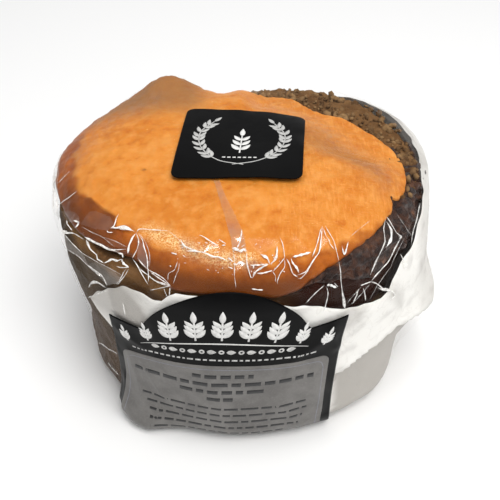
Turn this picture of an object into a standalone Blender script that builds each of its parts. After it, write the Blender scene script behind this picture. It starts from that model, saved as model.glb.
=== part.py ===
# A whole pork pie with a cheese top, sealed in clear film over a paper wrap,
# with a square label on top and an arched label round its front.
#
# The pack is a turned drum with a domed top. Its wall swells where the loose
# paper and film stand off the crust, and its top rises and dips with the
# cheese. Angles run round the pie in degrees from the front (-Y), positive
# towards +X. Lengths are in millimetres until they reach a mesh.

import math

import bmesh
import bpy
from mathutils import Vector

MM = 0.001

# Driving dimensions
PACK_RADIUS = 54.3        # film over paper over crust, at the top of the wall
CROWN_HEIGHT = 69.6       # top of the cheese under the film
SHOULDER_HEIGHT = 54.0    # where the wall starts to turn over into the dome
WAIST_DROP = 2.3          # how far the wall draws in on its way down
BASE_EDGE_REACH = 7.0     # the rounded bottom edge, measured inwards
BASE_EDGE_HEIGHT = 8.0    # and upwards
DOME_POWER = 4.0          # 2 is an ellipse, more is a flatter crown

TURN_STEPS = 72
DOME_ROWS = 15
WALL_ROWS = 12
EDGE_ROWS = 6

LABEL_GAP = 0.32          # from the film to a label
LABEL_THICKNESS = 0.4

# Where the loose wrap stands off the pie, or is drawn in.
# angle, its spread, height, its spread, amount
WALL_SWELLS = (
    (72.0, 17.0, 27.0, 9.5, 7.2),      # a corner of folded paper low on the right
    (122.0, 25.0, 55.0, 8.0, 7.0),     # the paper's collar behind the rim
    (60.0, 25.0, 44.0, 10.0, 2.0),     # slack paper above that corner
    (46.0, 18.0, 3.0, 8.0, 3.0),       # the end fold tucked under the right
    (-33.0, 10.0, 0.0, 9.0, 6.0),     # film puffed out under the label's left side
    (-70.0, 26.0, 20.0, 15.0, -3.0),   # drawn in at the left, where there is no paper
    (-95.0, 22.0, 59.0, 7.0, 1.6),     # film held off the cheese at the left
    (180.0, 24.0, 58.0, 12.0, -4.8),   # the flatter back
)
SWELL_FROM_RADIUS = 45.0  # swells fade out inside this radius

# How the top rises and dips: x, y, radius, amount
TOP_LUMPS = (
    (-22.5, 37.5, 11.0, 6.2),          # a thick lobe of cheese at the back left
    (-10.0, 41.8, 14.5, -5.8),         # the dip beside it
    (-24.0, -30.0, 18.0, -1.5),        # the cheese sags towards the front left
)

# At the back right the cheese is thin and the crust's rim is bare. There the
# top comes down to a cone that runs out to the rim.
RIM_RADIUS = 52.0
RIM_HEIGHT = 61.5
BACK_SLOPE = 0.14                         # fall for each millimetre outwards
BACK_SLOPE_ANGLES = (64.0, 94.0, 166.0, 183.0)  # starts, is full, is full, ends
BACK_SLOPE_RADII = (10.0, 32.0)           # starts, is full

# Square label on top
TOP_LABEL_SIDE = 34.5
TOP_LABEL_CORNER = 2.4
TOP_LABEL_CENTRE = (0.0, -4.0)
TOP_LABEL_TURN = -4.5     # degrees
TOP_LABEL_CELLS = 8       # between the rounded corners
TOP_LABEL_CORNER_CELLS = 2
TOP_LABEL_CURL = 0.7      # its right edge lifts off the film
TOP_LABEL_WAVE = 0.25

# Arched label round the front
FRONT_LABEL_ANGLE = -4.8        # of its centre, at the height of its ears
FRONT_LABEL_LEAN = 0.055        # degrees that its centre moves for each millimetre below them
FRONT_LABEL_HALF_WIDTH = 31.6
FRONT_LABEL_EAR = 1.0           # how far each pointed top corner reaches past the sides
FRONT_LABEL_TILT = 0.085        # rise for each millimetre to the right
FRONT_LABEL_BOTTOM = 1.0
FRONT_LABEL_EAR_HEIGHT = 44.5
FRONT_LABEL_ARCH_HEIGHT = 59.4
FRONT_LABEL_ARCH_RADIUS = 23.5
FRONT_LABEL_BLEND = 2.6         # softens the turn from an ear into the arch
FRONT_LABEL_COLUMNS = 30
FRONT_LABEL_ROWS = 20


def clamp(value, low=0.0, high=1.0):
    return max(low, min(high, value))


def wrapped(angle):
    """The same angle between -180 and 180 degrees."""
    return (angle + 180.0) % 360.0 - 180.0


def ease(value):
    """A smooth step from 0 to 1."""
    share = clamp(value)
    return share * share * (3.0 - 2.0 * share)


def swell(angle, height):
    """How far the wall is pushed outwards."""
    push = 0.0
    for centre, spread, level, rise, amount in WALL_SWELLS:
        around = wrapped(angle - centre) / spread
        along = (height - level) / rise
        push += amount * math.exp(-around ** 2 - along ** 2)
    return push


def swell_share(radius):
    return clamp(radius / SWELL_FROM_RADIUS) ** 6


def top_lift(x, y):
    """How far the domed top is raised or lowered."""
    lift = 0.0
    for centre_x, centre_y, radius, amount in TOP_LUMPS:
        distance = math.hypot(x - centre_x, y - centre_y)
        lift += amount * math.exp(-(distance / radius) ** 2)
    return lift


def lowered(angle, radius, height):
    """Height of the domed top once the back right has come down to its cone."""
    start, full, still_full, end = BACK_SLOPE_ANGLES
    turn = angle % 360.0
    share = ease((turn - start) / (full - start)) * (1.0 - ease((turn - still_full) / (end - still_full)))
    share *= ease((radius - BACK_SLOPE_RADII[0]) / (BACK_SLOPE_RADII[1] - BACK_SLOPE_RADII[0]))
    cone = RIM_HEIGHT + BACK_SLOPE * (RIM_RADIUS - radius)
    return height - share * max(0.0, height - cone)


def lift_share(height):
    """The lift fades in over the first few millimetres above the shoulder."""
    return clamp((height - SHOULDER_HEIGHT) / 4.0)


def dome_height(radius):
    ratio = clamp(radius / PACK_RADIUS)
    return SHOULDER_HEIGHT + (CROWN_HEIGHT - SHOULDER_HEIGHT) * math.sqrt(1.0 - ratio ** DOME_POWER)


def wall_radius(angle, height):
    """Radius of the pack at an angle and a height."""
    if height >= SHOULDER_HEIGHT:
        ratio = clamp((height - SHOULDER_HEIGHT) / (CROWN_HEIGHT - SHOULDER_HEIGHT))
        radius = PACK_RADIUS * (1.0 - ratio ** 2) ** (1.0 / DOME_POWER)
    elif height >= BASE_EDGE_HEIGHT:
        down = (SHOULDER_HEIGHT - height) / (SHOULDER_HEIGHT - BASE_EDGE_HEIGHT)
        radius = PACK_RADIUS - WAIST_DROP * down ** 2
    else:
        down = clamp((BASE_EDGE_HEIGHT - height) / BASE_EDGE_HEIGHT)
        inset = BASE_EDGE_REACH * (1.0 - math.sqrt(1.0 - down ** 2))
        radius = PACK_RADIUS - WAIST_DROP - inset
    return radius + swell(angle, height) * swell_share(radius)


def around(angle, radius, height):
    turn = math.radians(angle)
    return Vector((radius * math.sin(turn), -radius * math.cos(turn), height))


def wall_point(angle, height, offset):
    """A point on the wall, moved off it along the wall's normal."""
    step = 0.25
    here = around(angle, wall_radius(angle, height), height)
    aside = around(angle + step, wall_radius(angle + step, height), height)
    above = around(angle, wall_radius(angle, height + step), height + step)
    normal = (aside - here).cross(above - here).normalized()
    return here + normal * offset


def top_point(x, y, offset):
    """A point on the domed top, moved straight up."""
    radius = math.hypot(x, y)
    height = lowered(math.degrees(math.atan2(x, -y)), radius, dome_height(radius))
    return Vector((x, y, height + top_lift(x, y) * lift_share(height) + offset))


def pack_profile():
    """Radius and height down the outside of the pack, from its crown to the middle of its base."""
    points = []
    for row in range(DOME_ROWS + 1):
        radius = PACK_RADIUS * math.sin(math.pi / 2 * row / DOME_ROWS)
        points.append((radius, dome_height(radius)))
    for row in range(1, WALL_ROWS + 1):
        down = row / WALL_ROWS
        height = SHOULDER_HEIGHT + (BASE_EDGE_HEIGHT - SHOULDER_HEIGHT) * down
        points.append((PACK_RADIUS - WAIST_DROP * down ** 2, height))
    for row in range(1, EDGE_ROWS + 1):
        turn = math.pi / 2 * row / EDGE_ROWS
        radius = PACK_RADIUS - WAIST_DROP - BASE_EDGE_REACH * (1.0 - math.cos(turn))
        points.append((radius, BASE_EDGE_HEIGHT * (1.0 - math.sin(turn))))
    points.append((0.0, 0.0))
    return points


def add_object(name, mesh, collection, material):
    obj = bpy.data.objects.new(name, mesh)
    collection.objects.link(obj)
    mesh.materials.clear()
    mesh.materials.append(material)
    return obj


def make_material(name, colour, roughness):
    material = bpy.data.materials.new(name)
    material.use_nodes = True
    shader = material.node_tree.nodes["Principled BSDF"]
    shader.inputs["Base Color"].default_value = (*colour, 1.0)
    shader.inputs["Roughness"].default_value = roughness
    shader.inputs["Metallic"].default_value = 0.0
    return material


def turned_mesh(name, profile, collection):
    """A closed mesh turned about Z from a profile that runs down its outer side."""
    mesh = bpy.data.meshes.new(name)
    edges = [(index, index + 1) for index in range(len(profile) - 1)]
    mesh.from_pydata([(radius * MM, 0.0, height * MM) for radius, height in profile], edges, [])
    obj = bpy.data.objects.new(name, mesh)
    collection.objects.link(obj)
    screw = obj.modifiers.new("Turn", "SCREW")
    screw.axis = "Z"
    screw.steps = TURN_STEPS
    screw.render_steps = TURN_STEPS
    screw.use_merge_vertices = True
    screw.merge_threshold = 0.00001
    bpy.context.view_layer.update()
    evaluated = obj.evaluated_get(bpy.context.evaluated_depsgraph_get())
    turned = bpy.data.meshes.new_from_object(evaluated)
    bpy.data.objects.remove(obj)
    bpy.data.meshes.remove(mesh)
    return turned


def shape_pack(mesh):
    """Swell the turned drum's wall and lift its top."""
    bm = bmesh.new()
    bm.from_mesh(mesh)
    bmesh.ops.remove_doubles(bm, verts=bm.verts, dist=0.00001)
    for vertex in bm.verts:
        x, y, height = vertex.co / MM
        radius = math.hypot(x, y)
        if radius < 0.001:
            lift = top_lift(0.0, 0.0) if height > SHOULDER_HEIGHT else 0.0
            vertex.co = Vector((0.0, 0.0, height + lift)) * MM
            continue
        angle = math.degrees(math.atan2(x, -y))
        if height > SHOULDER_HEIGHT:
            height = lowered(angle, radius, height)
        pushed = radius + swell(angle, height) * swell_share(radius)
        point = around(angle, pushed, height)
        point.z += top_lift(point.x, point.y) * lift_share(height)
        vertex.co = point * MM
    bmesh.ops.recalc_face_normals(bm, faces=bm.faces)
    bm.to_mesh(mesh)
    bm.free()


def grid_mesh(name, columns, rows, place):
    """A grid of faces whose corners are given by place(column, row), facing outwards."""
    bm = bmesh.new()
    corners = [[bm.verts.new(place(column, row) * MM) for row in range(rows + 1)]
               for column in range(columns + 1)]
    for column in range(columns):
        for row in range(rows):
            left, right = corners[column], corners[column + 1]
            bm.faces.new((left[row], right[row], right[row + 1], left[row + 1]))
    mesh = bpy.data.meshes.new(name)
    bm.to_mesh(mesh)
    bm.free()
    return mesh


def thicken(obj):
    solidify = obj.modifiers.new("Thickness", "SOLIDIFY")
    solidify.thickness = LABEL_THICKNESS * MM
    solidify.offset = 1.0


def rounded_steps():
    """Places along one side of the top label, closer together at the rounded corners."""
    flat = TOP_LABEL_SIDE / 2 - TOP_LABEL_CORNER
    corner = [TOP_LABEL_CORNER * step / TOP_LABEL_CORNER_CELLS for step in range(1, TOP_LABEL_CORNER_CELLS + 1)]
    middle = [-flat + 2 * flat * step / TOP_LABEL_CELLS for step in range(TOP_LABEL_CELLS + 1)]
    return [-flat - reach for reach in reversed(corner)] + middle + [flat + reach for reach in corner]


def round_corner(across, along):
    """Pull a point of the square's corner cell in to its quarter circle."""
    flat = TOP_LABEL_SIDE / 2 - TOP_LABEL_CORNER
    over_x = max(0.0, abs(across) - flat) / TOP_LABEL_CORNER
    over_y = max(0.0, abs(along) - flat) / TOP_LABEL_CORNER
    if over_x == 0.0 or over_y == 0.0:
        return across, along
    reach_x = flat + TOP_LABEL_CORNER * over_x * math.sqrt(1.0 - over_y ** 2 / 2)
    reach_y = flat + TOP_LABEL_CORNER * over_y * math.sqrt(1.0 - over_x ** 2 / 2)
    return math.copysign(reach_x, across), math.copysign(reach_y, along)


def top_label_lift(across, along):
    """The label's right edge curls up and its front edge waves a little."""
    half = TOP_LABEL_SIDE / 2
    curl = TOP_LABEL_CURL * clamp(across / half) ** 3
    wave = TOP_LABEL_WAVE * (1.0 + math.sin(across / half * 4.0)) * clamp(-along / half)
    return curl + wave


def build_top_label(collection, material):
    steps = rounded_steps()
    turn = math.radians(TOP_LABEL_TURN)

    def place(column, row):
        across, along = round_corner(steps[column], steps[row])
        x = TOP_LABEL_CENTRE[0] + across * math.cos(turn) - along * math.sin(turn)
        y = TOP_LABEL_CENTRE[1] + across * math.sin(turn) + along * math.cos(turn)
        return top_point(x, y, LABEL_GAP + top_label_lift(across, along))

    cells = len(steps) - 1
    label = add_object("top_label", grid_mesh("top_label", cells, cells, place), collection, material)
    thicken(label)


def arch_height(across):
    """Height of the front label's top edge: level ears, then an arch of a circle between them."""
    ear = FRONT_LABEL_EAR_HEIGHT
    reach = min(abs(across), FRONT_LABEL_ARCH_RADIUS)
    arch = FRONT_LABEL_ARCH_HEIGHT - FRONT_LABEL_ARCH_RADIUS
    arch += math.sqrt(FRONT_LABEL_ARCH_RADIUS ** 2 - reach ** 2)
    gap = abs(arch - ear)
    extra = max(0.0, FRONT_LABEL_BLEND - gap) ** 2 / (4 * FRONT_LABEL_BLEND)
    return max(arch, ear) + extra


def front_label_point(share_across, share_up, offset):
    """A point of the front label, from -1 to 1 across and 0 to 1 up."""
    across = share_across * FRONT_LABEL_HALF_WIDTH
    top = arch_height(across)
    height = FRONT_LABEL_BOTTOM + (top - FRONT_LABEL_BOTTOM) * share_up
    tilt = FRONT_LABEL_TILT * across * share_up
    ear = FRONT_LABEL_EAR * share_across * clamp(abs(share_across) * 4 - 3) * clamp(share_up * 6 - 5)
    centre = FRONT_LABEL_ANGLE - FRONT_LABEL_LEAN * (FRONT_LABEL_EAR_HEIGHT - height)
    level = height + tilt
    angle = centre + math.degrees((across + ear) / wall_radius(centre, level))
    return wall_point(angle, level, offset)


def build_front_label(collection, material):
    def place(column, row):
        share_across = 2.0 * column / FRONT_LABEL_COLUMNS - 1.0
        return front_label_point(share_across, row / FRONT_LABEL_ROWS, LABEL_GAP)

    mesh = grid_mesh("front_label", FRONT_LABEL_COLUMNS, FRONT_LABEL_ROWS, place)
    label = add_object("front_label", mesh, collection, material)
    thicken(label)


def build_film_bag(collection, material):
    mesh = turned_mesh("film_bag", pack_profile(), collection)
    shape_pack(mesh)
    mesh.shade_smooth()
    add_object("film_bag", mesh, collection, material)


def main():
    for obj in list(bpy.data.objects):
        bpy.data.objects.remove(obj)
    collection = bpy.data.collections.new("wrapped_pork_pie")
    bpy.context.scene.collection.children.link(collection)
    film = make_material("film over cheese", (0.72, 0.33, 0.09), 0.15)
    black = make_material("black label", (0.008, 0.008, 0.008), 0.35)
    build_film_bag(collection, film)
    build_top_label(collection, black)
    build_front_label(collection, black)


main()
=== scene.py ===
# A whole pork pie with a cheese top, sealed in clear film over a paper wrap,
# with a square label on top and an arched label round its front.
# Lengths are in millimetres until they reach a mesh. Angles run round the pie
# in degrees from the front (-Y), positive towards +X.
import math

import bmesh
import bpy
import numpy as np
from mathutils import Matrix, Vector
from mathutils.geometry import delaunay_2d_cdt


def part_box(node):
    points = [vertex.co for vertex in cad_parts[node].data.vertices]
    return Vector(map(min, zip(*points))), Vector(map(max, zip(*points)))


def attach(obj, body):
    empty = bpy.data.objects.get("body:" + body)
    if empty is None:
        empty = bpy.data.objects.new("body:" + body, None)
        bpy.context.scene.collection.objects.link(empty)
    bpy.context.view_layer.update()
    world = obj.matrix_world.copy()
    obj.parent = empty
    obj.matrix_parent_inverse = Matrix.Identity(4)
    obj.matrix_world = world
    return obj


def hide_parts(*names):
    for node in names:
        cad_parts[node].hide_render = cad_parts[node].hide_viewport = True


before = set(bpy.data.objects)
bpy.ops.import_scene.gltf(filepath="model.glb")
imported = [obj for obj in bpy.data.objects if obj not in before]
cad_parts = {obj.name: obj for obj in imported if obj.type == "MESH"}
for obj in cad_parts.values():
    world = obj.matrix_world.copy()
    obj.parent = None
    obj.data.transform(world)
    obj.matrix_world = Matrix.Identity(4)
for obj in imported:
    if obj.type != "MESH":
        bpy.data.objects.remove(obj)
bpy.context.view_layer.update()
mm = 0.001
bagLow, bagHigh = [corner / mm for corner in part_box("film_bag")]

# the pack's outer surface, as the solids have it
pack = {
    "radius": 54.3,
    "crown": bagHigh.z,
    "shoulder": 54.0,
    "waistDrop": 2.3,
    "edgeReach": 7.0,
    "edgeHeight": 8.0,
    "domePower": 4.0,
    # angle, its spread, height, its spread, amount
    "swells": (
        (72.0, 17.0, 27.0, 9.5, 7.2),
        (122.0, 25.0, 55.0, 8.0, 7.0),
        (60.0, 25.0, 44.0, 10.0, 2.0),
        (46.0, 18.0, 3.0, 8.0, 3.0),
        (-33.0, 10.0, 0.0, 9.0, 6.0),
        (-70.0, 26.0, 20.0, 15.0, -3.0),
        (-95.0, 22.0, 59.0, 7.0, 1.6),
        (180.0, 24.0, 58.0, 12.0, -4.8),
    ),
    "swellFrom": 45.0,
    # x, y, radius, amount
    "lumps": ((-22.5, 37.5, 11.0, 6.2), (-10.0, 41.8, 14.5, -5.8), (-24.0, -30.0, 18.0, -1.5)),
    "rimRadius": 52.0,
    "rimHeight": 61.5,
    "backSlope": 0.14,
    "slopeAngles": (64.0, 94.0, 166.0, 183.0),
    "slopeRadii": (10.0, 32.0),
}


def ease(value):
    share = np.clip(value, 0.0, 1.0)
    return share * share * (3.0 - 2.0 * share)


def wrapped(angle):
    return (angle + 180.0) % 360.0 - 180.0


def swellAt(angle, height, only=0):
    # how far the wall is pushed out; only=-1 counts just the places where it is drawn in
    push = 0.0
    for centre, spread, level, rise, amount in pack["swells"]:
        if only * amount < 0:
            continue
        push = push + amount * np.exp(-(wrapped(angle - centre) / spread) ** 2 - ((height - level) / rise) ** 2)
    return push


def swellShare(radius):
    return np.clip(radius / pack["swellFrom"], 0.0, 1.0) ** 6


def topLift(x, y):
    return sum(amount * np.exp(-((x - cx) ** 2 + (y - cy) ** 2) / reach ** 2) for cx, cy, reach, amount in pack["lumps"])


def liftShare(height):
    return np.clip((height - pack["shoulder"]) / 4.0, 0.0, 1.0)


def domeHeight(radius):
    ratio = np.clip(radius / pack["radius"], 0.0, 1.0)
    return pack["shoulder"] + (pack["crown"] - pack["shoulder"]) * np.sqrt(1.0 - ratio ** pack["domePower"])


def loweredTop(angle, radius, height):
    # at the back right the top comes down to a cone that runs out to the bare rim
    start, full, stillFull, end = pack["slopeAngles"]
    turn = angle % 360.0
    share = ease((turn - start) / (full - start)) * (1.0 - ease((turn - stillFull) / (end - stillFull)))
    near, far = pack["slopeRadii"]
    share = share * ease((radius - near) / (far - near))
    cone = pack["rimHeight"] + pack["backSlope"] * (pack["rimRadius"] - radius)
    return height - share * np.maximum(0.0, height - cone)


def around(angle, radius, height):
    turn = np.radians(angle)
    return np.stack(np.broadcast_arrays(radius * np.sin(turn), -radius * np.cos(turn), height), -1)


def wallRadius(angle, height):
    ratio = np.clip((height - pack["shoulder"]) / (pack["crown"] - pack["shoulder"]), 0.0, 1.0)
    dome = pack["radius"] * (1.0 - ratio ** 2) ** (1.0 / pack["domePower"])
    down = np.clip((pack["shoulder"] - height) / (pack["shoulder"] - pack["edgeHeight"]), 0.0, 1.0)
    wall = pack["radius"] - pack["waistDrop"] * down ** 2
    under = np.clip((pack["edgeHeight"] - height) / pack["edgeHeight"], 0.0, 1.0)
    wall = wall - pack["edgeReach"] * (1.0 - np.sqrt(1.0 - under ** 2))
    radius = np.where(height >= pack["shoulder"], dome, wall)
    return radius + swellAt(angle, height) * swellShare(radius)


def wallPoint(angle, height, out=0.0):
    step = 0.25
    here = around(angle, wallRadius(angle, height), height)
    aside = around(angle + step, wallRadius(angle + step, height), height)
    above = around(angle, wallRadius(angle, height + step), height + step)
    normal = np.cross(aside - here, above - here)
    normal = normal / np.linalg.norm(normal, axis=-1, keepdims=True)
    return here + normal * np.asarray(out)[..., None]


def topPoint(x, y, out=0.0):
    radius = np.hypot(x, y)
    height = loweredTop(np.degrees(np.arctan2(x, -y)), radius, domeHeight(radius))
    return np.stack(np.broadcast_arrays(x, y, height + topLift(x, y) * liftShare(height) + out), -1)


def rollSheet():
    # the profile as a sheet: distance from the crown, with the radius and height there
    turn = np.linspace(0.0, math.pi / 2, 801)
    radius = pack["radius"] * np.sin(turn)
    height = domeHeight(radius)
    down = np.linspace(0.0, 1.0, 401)[1:]
    radius = np.append(radius, pack["radius"] - pack["waistDrop"] * down ** 2)
    height = np.append(height, pack["shoulder"] + (pack["edgeHeight"] - pack["shoulder"]) * down)
    turn = np.linspace(0.0, math.pi / 2, 101)[1:]
    foot = pack["radius"] - pack["waistDrop"] - pack["edgeReach"]
    radius = np.append(radius, foot + pack["edgeReach"] * np.cos(turn))
    height = np.append(height, pack["edgeHeight"] * (1.0 - np.sin(turn)))
    steps = np.hypot(np.diff(radius), np.diff(height))
    return np.append(0.0, np.cumsum(steps)), radius, height


sheetDistance, sheetRadius, sheetHeight = rollSheet()
sheetEnd = sheetDistance[-1]


def sheetPoint(angle, distance):
    radius = np.interp(distance, sheetDistance, sheetRadius)
    height = np.interp(distance, sheetDistance, sheetHeight)
    height = np.where(height > pack["shoulder"], loweredTop(angle, radius, height), height)
    pushed = radius + swellAt(angle, height) * swellShare(radius)
    point = around(angle, pushed, height)
    point[..., 2] += topLift(point[..., 0], point[..., 1]) * liftShare(height)
    return point


def sheetNormal(angle, distance):
    distance = np.clip(distance, 0.5, sheetEnd - 0.3)
    across = sheetPoint(angle + 0.3, distance) - sheetPoint(angle - 0.3, distance)
    upwards = sheetPoint(angle, distance - 0.25) - sheetPoint(angle, distance + 0.25)
    normal = np.cross(across, upwards)
    return normal / np.linalg.norm(normal, axis=-1, keepdims=True)


def onSheet(angle, distance, out=0.0):
    angle, distance = np.broadcast_arrays(np.asarray(angle, float), np.asarray(distance, float))
    return sheetPoint(angle, distance) + sheetNormal(angle, distance) * np.asarray(out)[..., None]


def roundTable(stops, angle, blur=0.0):
    # a value that goes round the pie through listed stops of (angle, value)
    knots = np.array(sorted(stops))
    offsets = np.linspace(-blur, blur, 7) if blur else np.array([0.0])
    return sum(np.interp(angle + offset, knots[:, 0], knots[:, 1], period=360.0) for offset in offsets) / len(offsets)


def ripple(points, wavelength, seed, waves=22):
    # a smooth uneven field about 0, mostly within -1 to 1
    rng = np.random.default_rng(seed)
    field = np.zeros(points.shape[:-1])
    for _ in range(waves):
        heading = rng.normal(size=3)
        heading = heading / np.linalg.norm(heading) * 2 * math.pi / (wavelength * rng.uniform(0.7, 1.5))
        field += np.sin(points @ heading + rng.uniform(0, 2 * math.pi))
    return field / math.sqrt(waves)


# meshes
def makePiece(name, points, faces, finish, smooth=True):
    mesh = bpy.data.meshes.new(name)
    mesh.from_pydata((np.asarray(points, float).reshape(-1, 3) * mm).tolist(), [], faces)
    mesh.validate()
    mesh.materials.append(finish)
    mesh.polygons.foreach_set("use_smooth", [smooth] * len(mesh.polygons))
    piece = bpy.data.objects.new(name, mesh)
    bpy.context.scene.collection.objects.link(piece)
    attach(piece, "root")
    return piece


def gridFaces(columns, rows, closed=False, start=0):
    # faces of a grid whose points run column by column
    faces = []
    for column in range(columns - (0 if closed else 1)):
        left = start + column * rows
        right = start + (column + 1) % columns * rows
        for row in range(rows - 1):
            faces.append((left + row, left + row + 1, right + row + 1, right + row))
    return faces


def stripParts(strips):
    # joins many grids of points, each of shape (columns, rows, 3)
    points, faces, start = [], [], 0
    for strip in strips:
        columns, rows = strip.shape[:2]
        points.append(strip.reshape(-1, 3))
        faces += gridFaces(columns, rows, start=start)
        start += columns * rows
    return np.concatenate(points), faces


def thicken(piece, thickness, offset=-1.0):
    solidify = piece.modifiers.new("thickness", "SOLIDIFY")
    solidify.thickness = thickness * mm
    solidify.offset = offset
    return piece


def smoothPath(stops, step=0.6):
    # a smooth curve through given points, as evenly spaced points
    stops = np.array(stops, float)
    padded = np.vstack([2 * stops[0] - stops[1], stops, 2 * stops[-1] - stops[-2]])
    pieces = []
    for index in range(len(stops) - 1):
        before, start, end, after = padded[index:index + 4]
        count = max(2, int(np.linalg.norm(end - start) / step))
        t = np.linspace(0, 1, count, endpoint=False)[:, None]
        curve = 2 * start + (end - before) * t + (2 * before - 5 * start + 4 * end - after) * t ** 2
        pieces.append((curve + (3 * start - before - 3 * end + after) * t ** 3) / 2)
    return np.vstack(pieces + [stops[-1:]])


def strandPoints(path, radii, sides=6):
    # a tube along a path of 3-D points, as a closed grid of rings
    path = np.asarray(path, float)
    ahead = np.gradient(path, axis=0)
    ahead = ahead / np.maximum(np.linalg.norm(ahead, axis=1, keepdims=True), 1e-9)
    side = np.cross(ahead, path * (1.0, 1.0, 0.6))
    side = side / np.maximum(np.linalg.norm(side, axis=1, keepdims=True), 1e-9)
    lift = np.cross(side, ahead)
    turn = np.linspace(0, 2 * math.pi, sides, endpoint=False)
    ring = np.cos(turn)[:, None, None] * side + np.sin(turn)[:, None, None] * lift
    return path + ring * np.asarray(radii, float).reshape(1, -1, 1)


# finishes
class Channel:
    # one output socket: plain maths on it adds Math nodes
    def __init__(self, finish, socket):
        self.finish = finish
        self.socket = socket

    def out(self, name):
        return Channel(self.finish, self.socket.node.outputs[name])

    def __add__(self, other):
        return self.finish.maths("ADD", self, other)

    def __radd__(self, other):
        return self.finish.maths("ADD", other, self)

    def __sub__(self, other):
        return self.finish.maths("SUBTRACT", self, other)

    def __rsub__(self, other):
        return self.finish.maths("SUBTRACT", other, self)

    def __mul__(self, other):
        return self.finish.maths("MULTIPLY", self, other)

    def __rmul__(self, other):
        return self.finish.maths("MULTIPLY", other, self)

    def __pow__(self, other):
        return self.finish.maths("POWER", self, other)

    def __rpow__(self, other):
        return self.finish.maths("POWER", other, self)


class Finish:
    # one material and the nodes that make it
    def __init__(self, name):
        self.material = bpy.data.materials.new(name)
        self.material.use_nodes = True
        self.tree = self.material.node_tree
        self.tree.nodes.clear()
        place = self.add("TexCoord").out("Object")
        self.place = self.add("VectorMath", {"operation": "SCALE"}, {0: place, "Scale": 1 / mm})

    def add(self, kind, settings=None, sockets=None, output=0):
        node = self.tree.nodes.new("ShaderNode" + kind)
        for key, value in (settings or {}).items():
            if key == "stops":
                ramp = node.color_ramp.elements
                while len(ramp) < len(value):
                    ramp.new(0.5)
                for element, (position, colour) in zip(ramp, value):
                    element.position = position
                    element.color = (*colour, 1.0) if isinstance(colour, tuple) else (colour, colour, colour, 1.0)
            else:
                setattr(node, key, value)
        for key, value in (sockets or {}).items():
            socket = node.inputs[key]
            if isinstance(value, Channel):
                self.tree.links.new(value.socket, socket)
            elif isinstance(value, tuple) and socket.type == "RGBA":
                socket.default_value = (*value, 1.0)
            else:
                socket.default_value = value
        return Channel(self, node.outputs[output]) if len(node.outputs) else None

    def maths(self, operation, first, second):
        return self.add("Math", {"operation": operation}, {0: first, 1: second})

    def noise(self, scale, detail=3.0, roughness=0.55, stretch=None, distortion=0.0):
        place = self.place
        if stretch:
            place = self.add("VectorMath", {"operation": "MULTIPLY"}, {0: place, 1: stretch})
        sockets = {"Vector": place, "Scale": scale, "Detail": detail, "Roughness": roughness}
        return self.add("TexNoise", {}, {**sockets, "Distortion": distortion})

    def mask(self, value, low, high):
        # 0 below low, 1 above high
        return self.add("MapRange", {"interpolation_type": "SMOOTHSTEP"}, {0: value, 1: low, 2: high})

    def tint(self, factor, first, second, blend="MIX"):
        return self.add("Mix", {"data_type": "RGBA", "blend_type": blend}, {0: factor, 6: first, 7: second}, 2)

    def height(self):
        return self.add("SeparateXYZ", {}, {0: self.place}, 2)

    def painted(self, name):
        return self.add("Attribute", {"attribute_name": name}, {}, "Fac")

    def bump(self, value, strength, depth, normal=None):
        sockets = {"Height": value, "Strength": strength, "Distance": depth * mm}
        if normal:
            sockets["Normal"] = normal
        return self.add("Bump", {}, sockets)

    def done(self, shader):
        self.add("OutputMaterial", {}, {"Surface": shader})
        return self.material


# where the cheese, the paper and the labels lie on the sheet
cheeseEdge = (
    (-174.0, 50.5), (-166.0, 51.0), (-158.0, 52.0), (-148.0, 54.5), (-135.0, 55.0), (-120.0, 56.0),
    (-105.0, 57.0), (-90.0, 57.0), (-78.0, 56.8), (-70.5, 56.5), (-63.5, 56.2), (-56.0, 56.0),
    (-45.0, 54.0), (-38.5, 52.5), (-34.5, 51.8), (-31.0, 52.3), (-25.5, 55.0), (-21.5, 57.0),
    (-17.0, 58.0), (-10.5, 58.0), (-4.0, 57.3), (3.0, 58.0), (9.0, 59.2), (15.5, 58.0), (20.0, 55.5),
    (24.5, 53.8), (29.5, 53.0), (33.5, 52.0), (42.5, 51.0), (47.0, 50.5), (52.5, 49.8), (56.0, 49.3),
    (59.6, 48.0), (61.0, 46.4), (62.5, 48.6), (66.5, 49.0), (70.5, 49.0), (76.5, 48.0), (84.0, 47.3),
    (91.5, 46.2), (97.0, 44.3), (104.0, 42.5), (110.0, 40.3), (117.5, 39.0), (125.0, 38.0), (133.0, 35.0),
    (140.0, 34.5), (147.5, 36.5), (156.0, 40.0), (164.0, 42.0), (171.0, 45.0), (178.0, 49.5),
)


def crustRadius(angle, height):
    # the crust's own wall, which the loose wrap stands off
    down = np.clip((pack["shoulder"] - height) / (pack["shoulder"] - pack["edgeHeight"]), 0.0, 1.0)
    under = np.clip((pack["edgeHeight"] - height) / pack["edgeHeight"], 0.0, 1.0)
    wall = pack["radius"] - pack["waistDrop"] * down ** 2 - pack["edgeReach"] * (1.0 - np.sqrt(1.0 - under ** 2))
    corner = crust["corner"] * np.exp(-((angle % 360.0 - 143.0) / 9.0) ** 2) * ease((height - 44.0) / 8.0)
    turn = wrapped(angle)
    start = -53.0 + 13.0 * ease((42.0 - height) / 8.0)
    bare = ease((start - turn) / 6.0) * ease((turn + 114.0) / 10.0) * ease((56.0 - height) / 6.0)
    inset = crust["inset"] + (crust["leftInset"] - crust["inset"]) * bare
    drawn = swellAt(angle, height, only=-1)
    return wall - inset + drawn + (swellAt(angle, height) - drawn) * bare + corner


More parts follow.
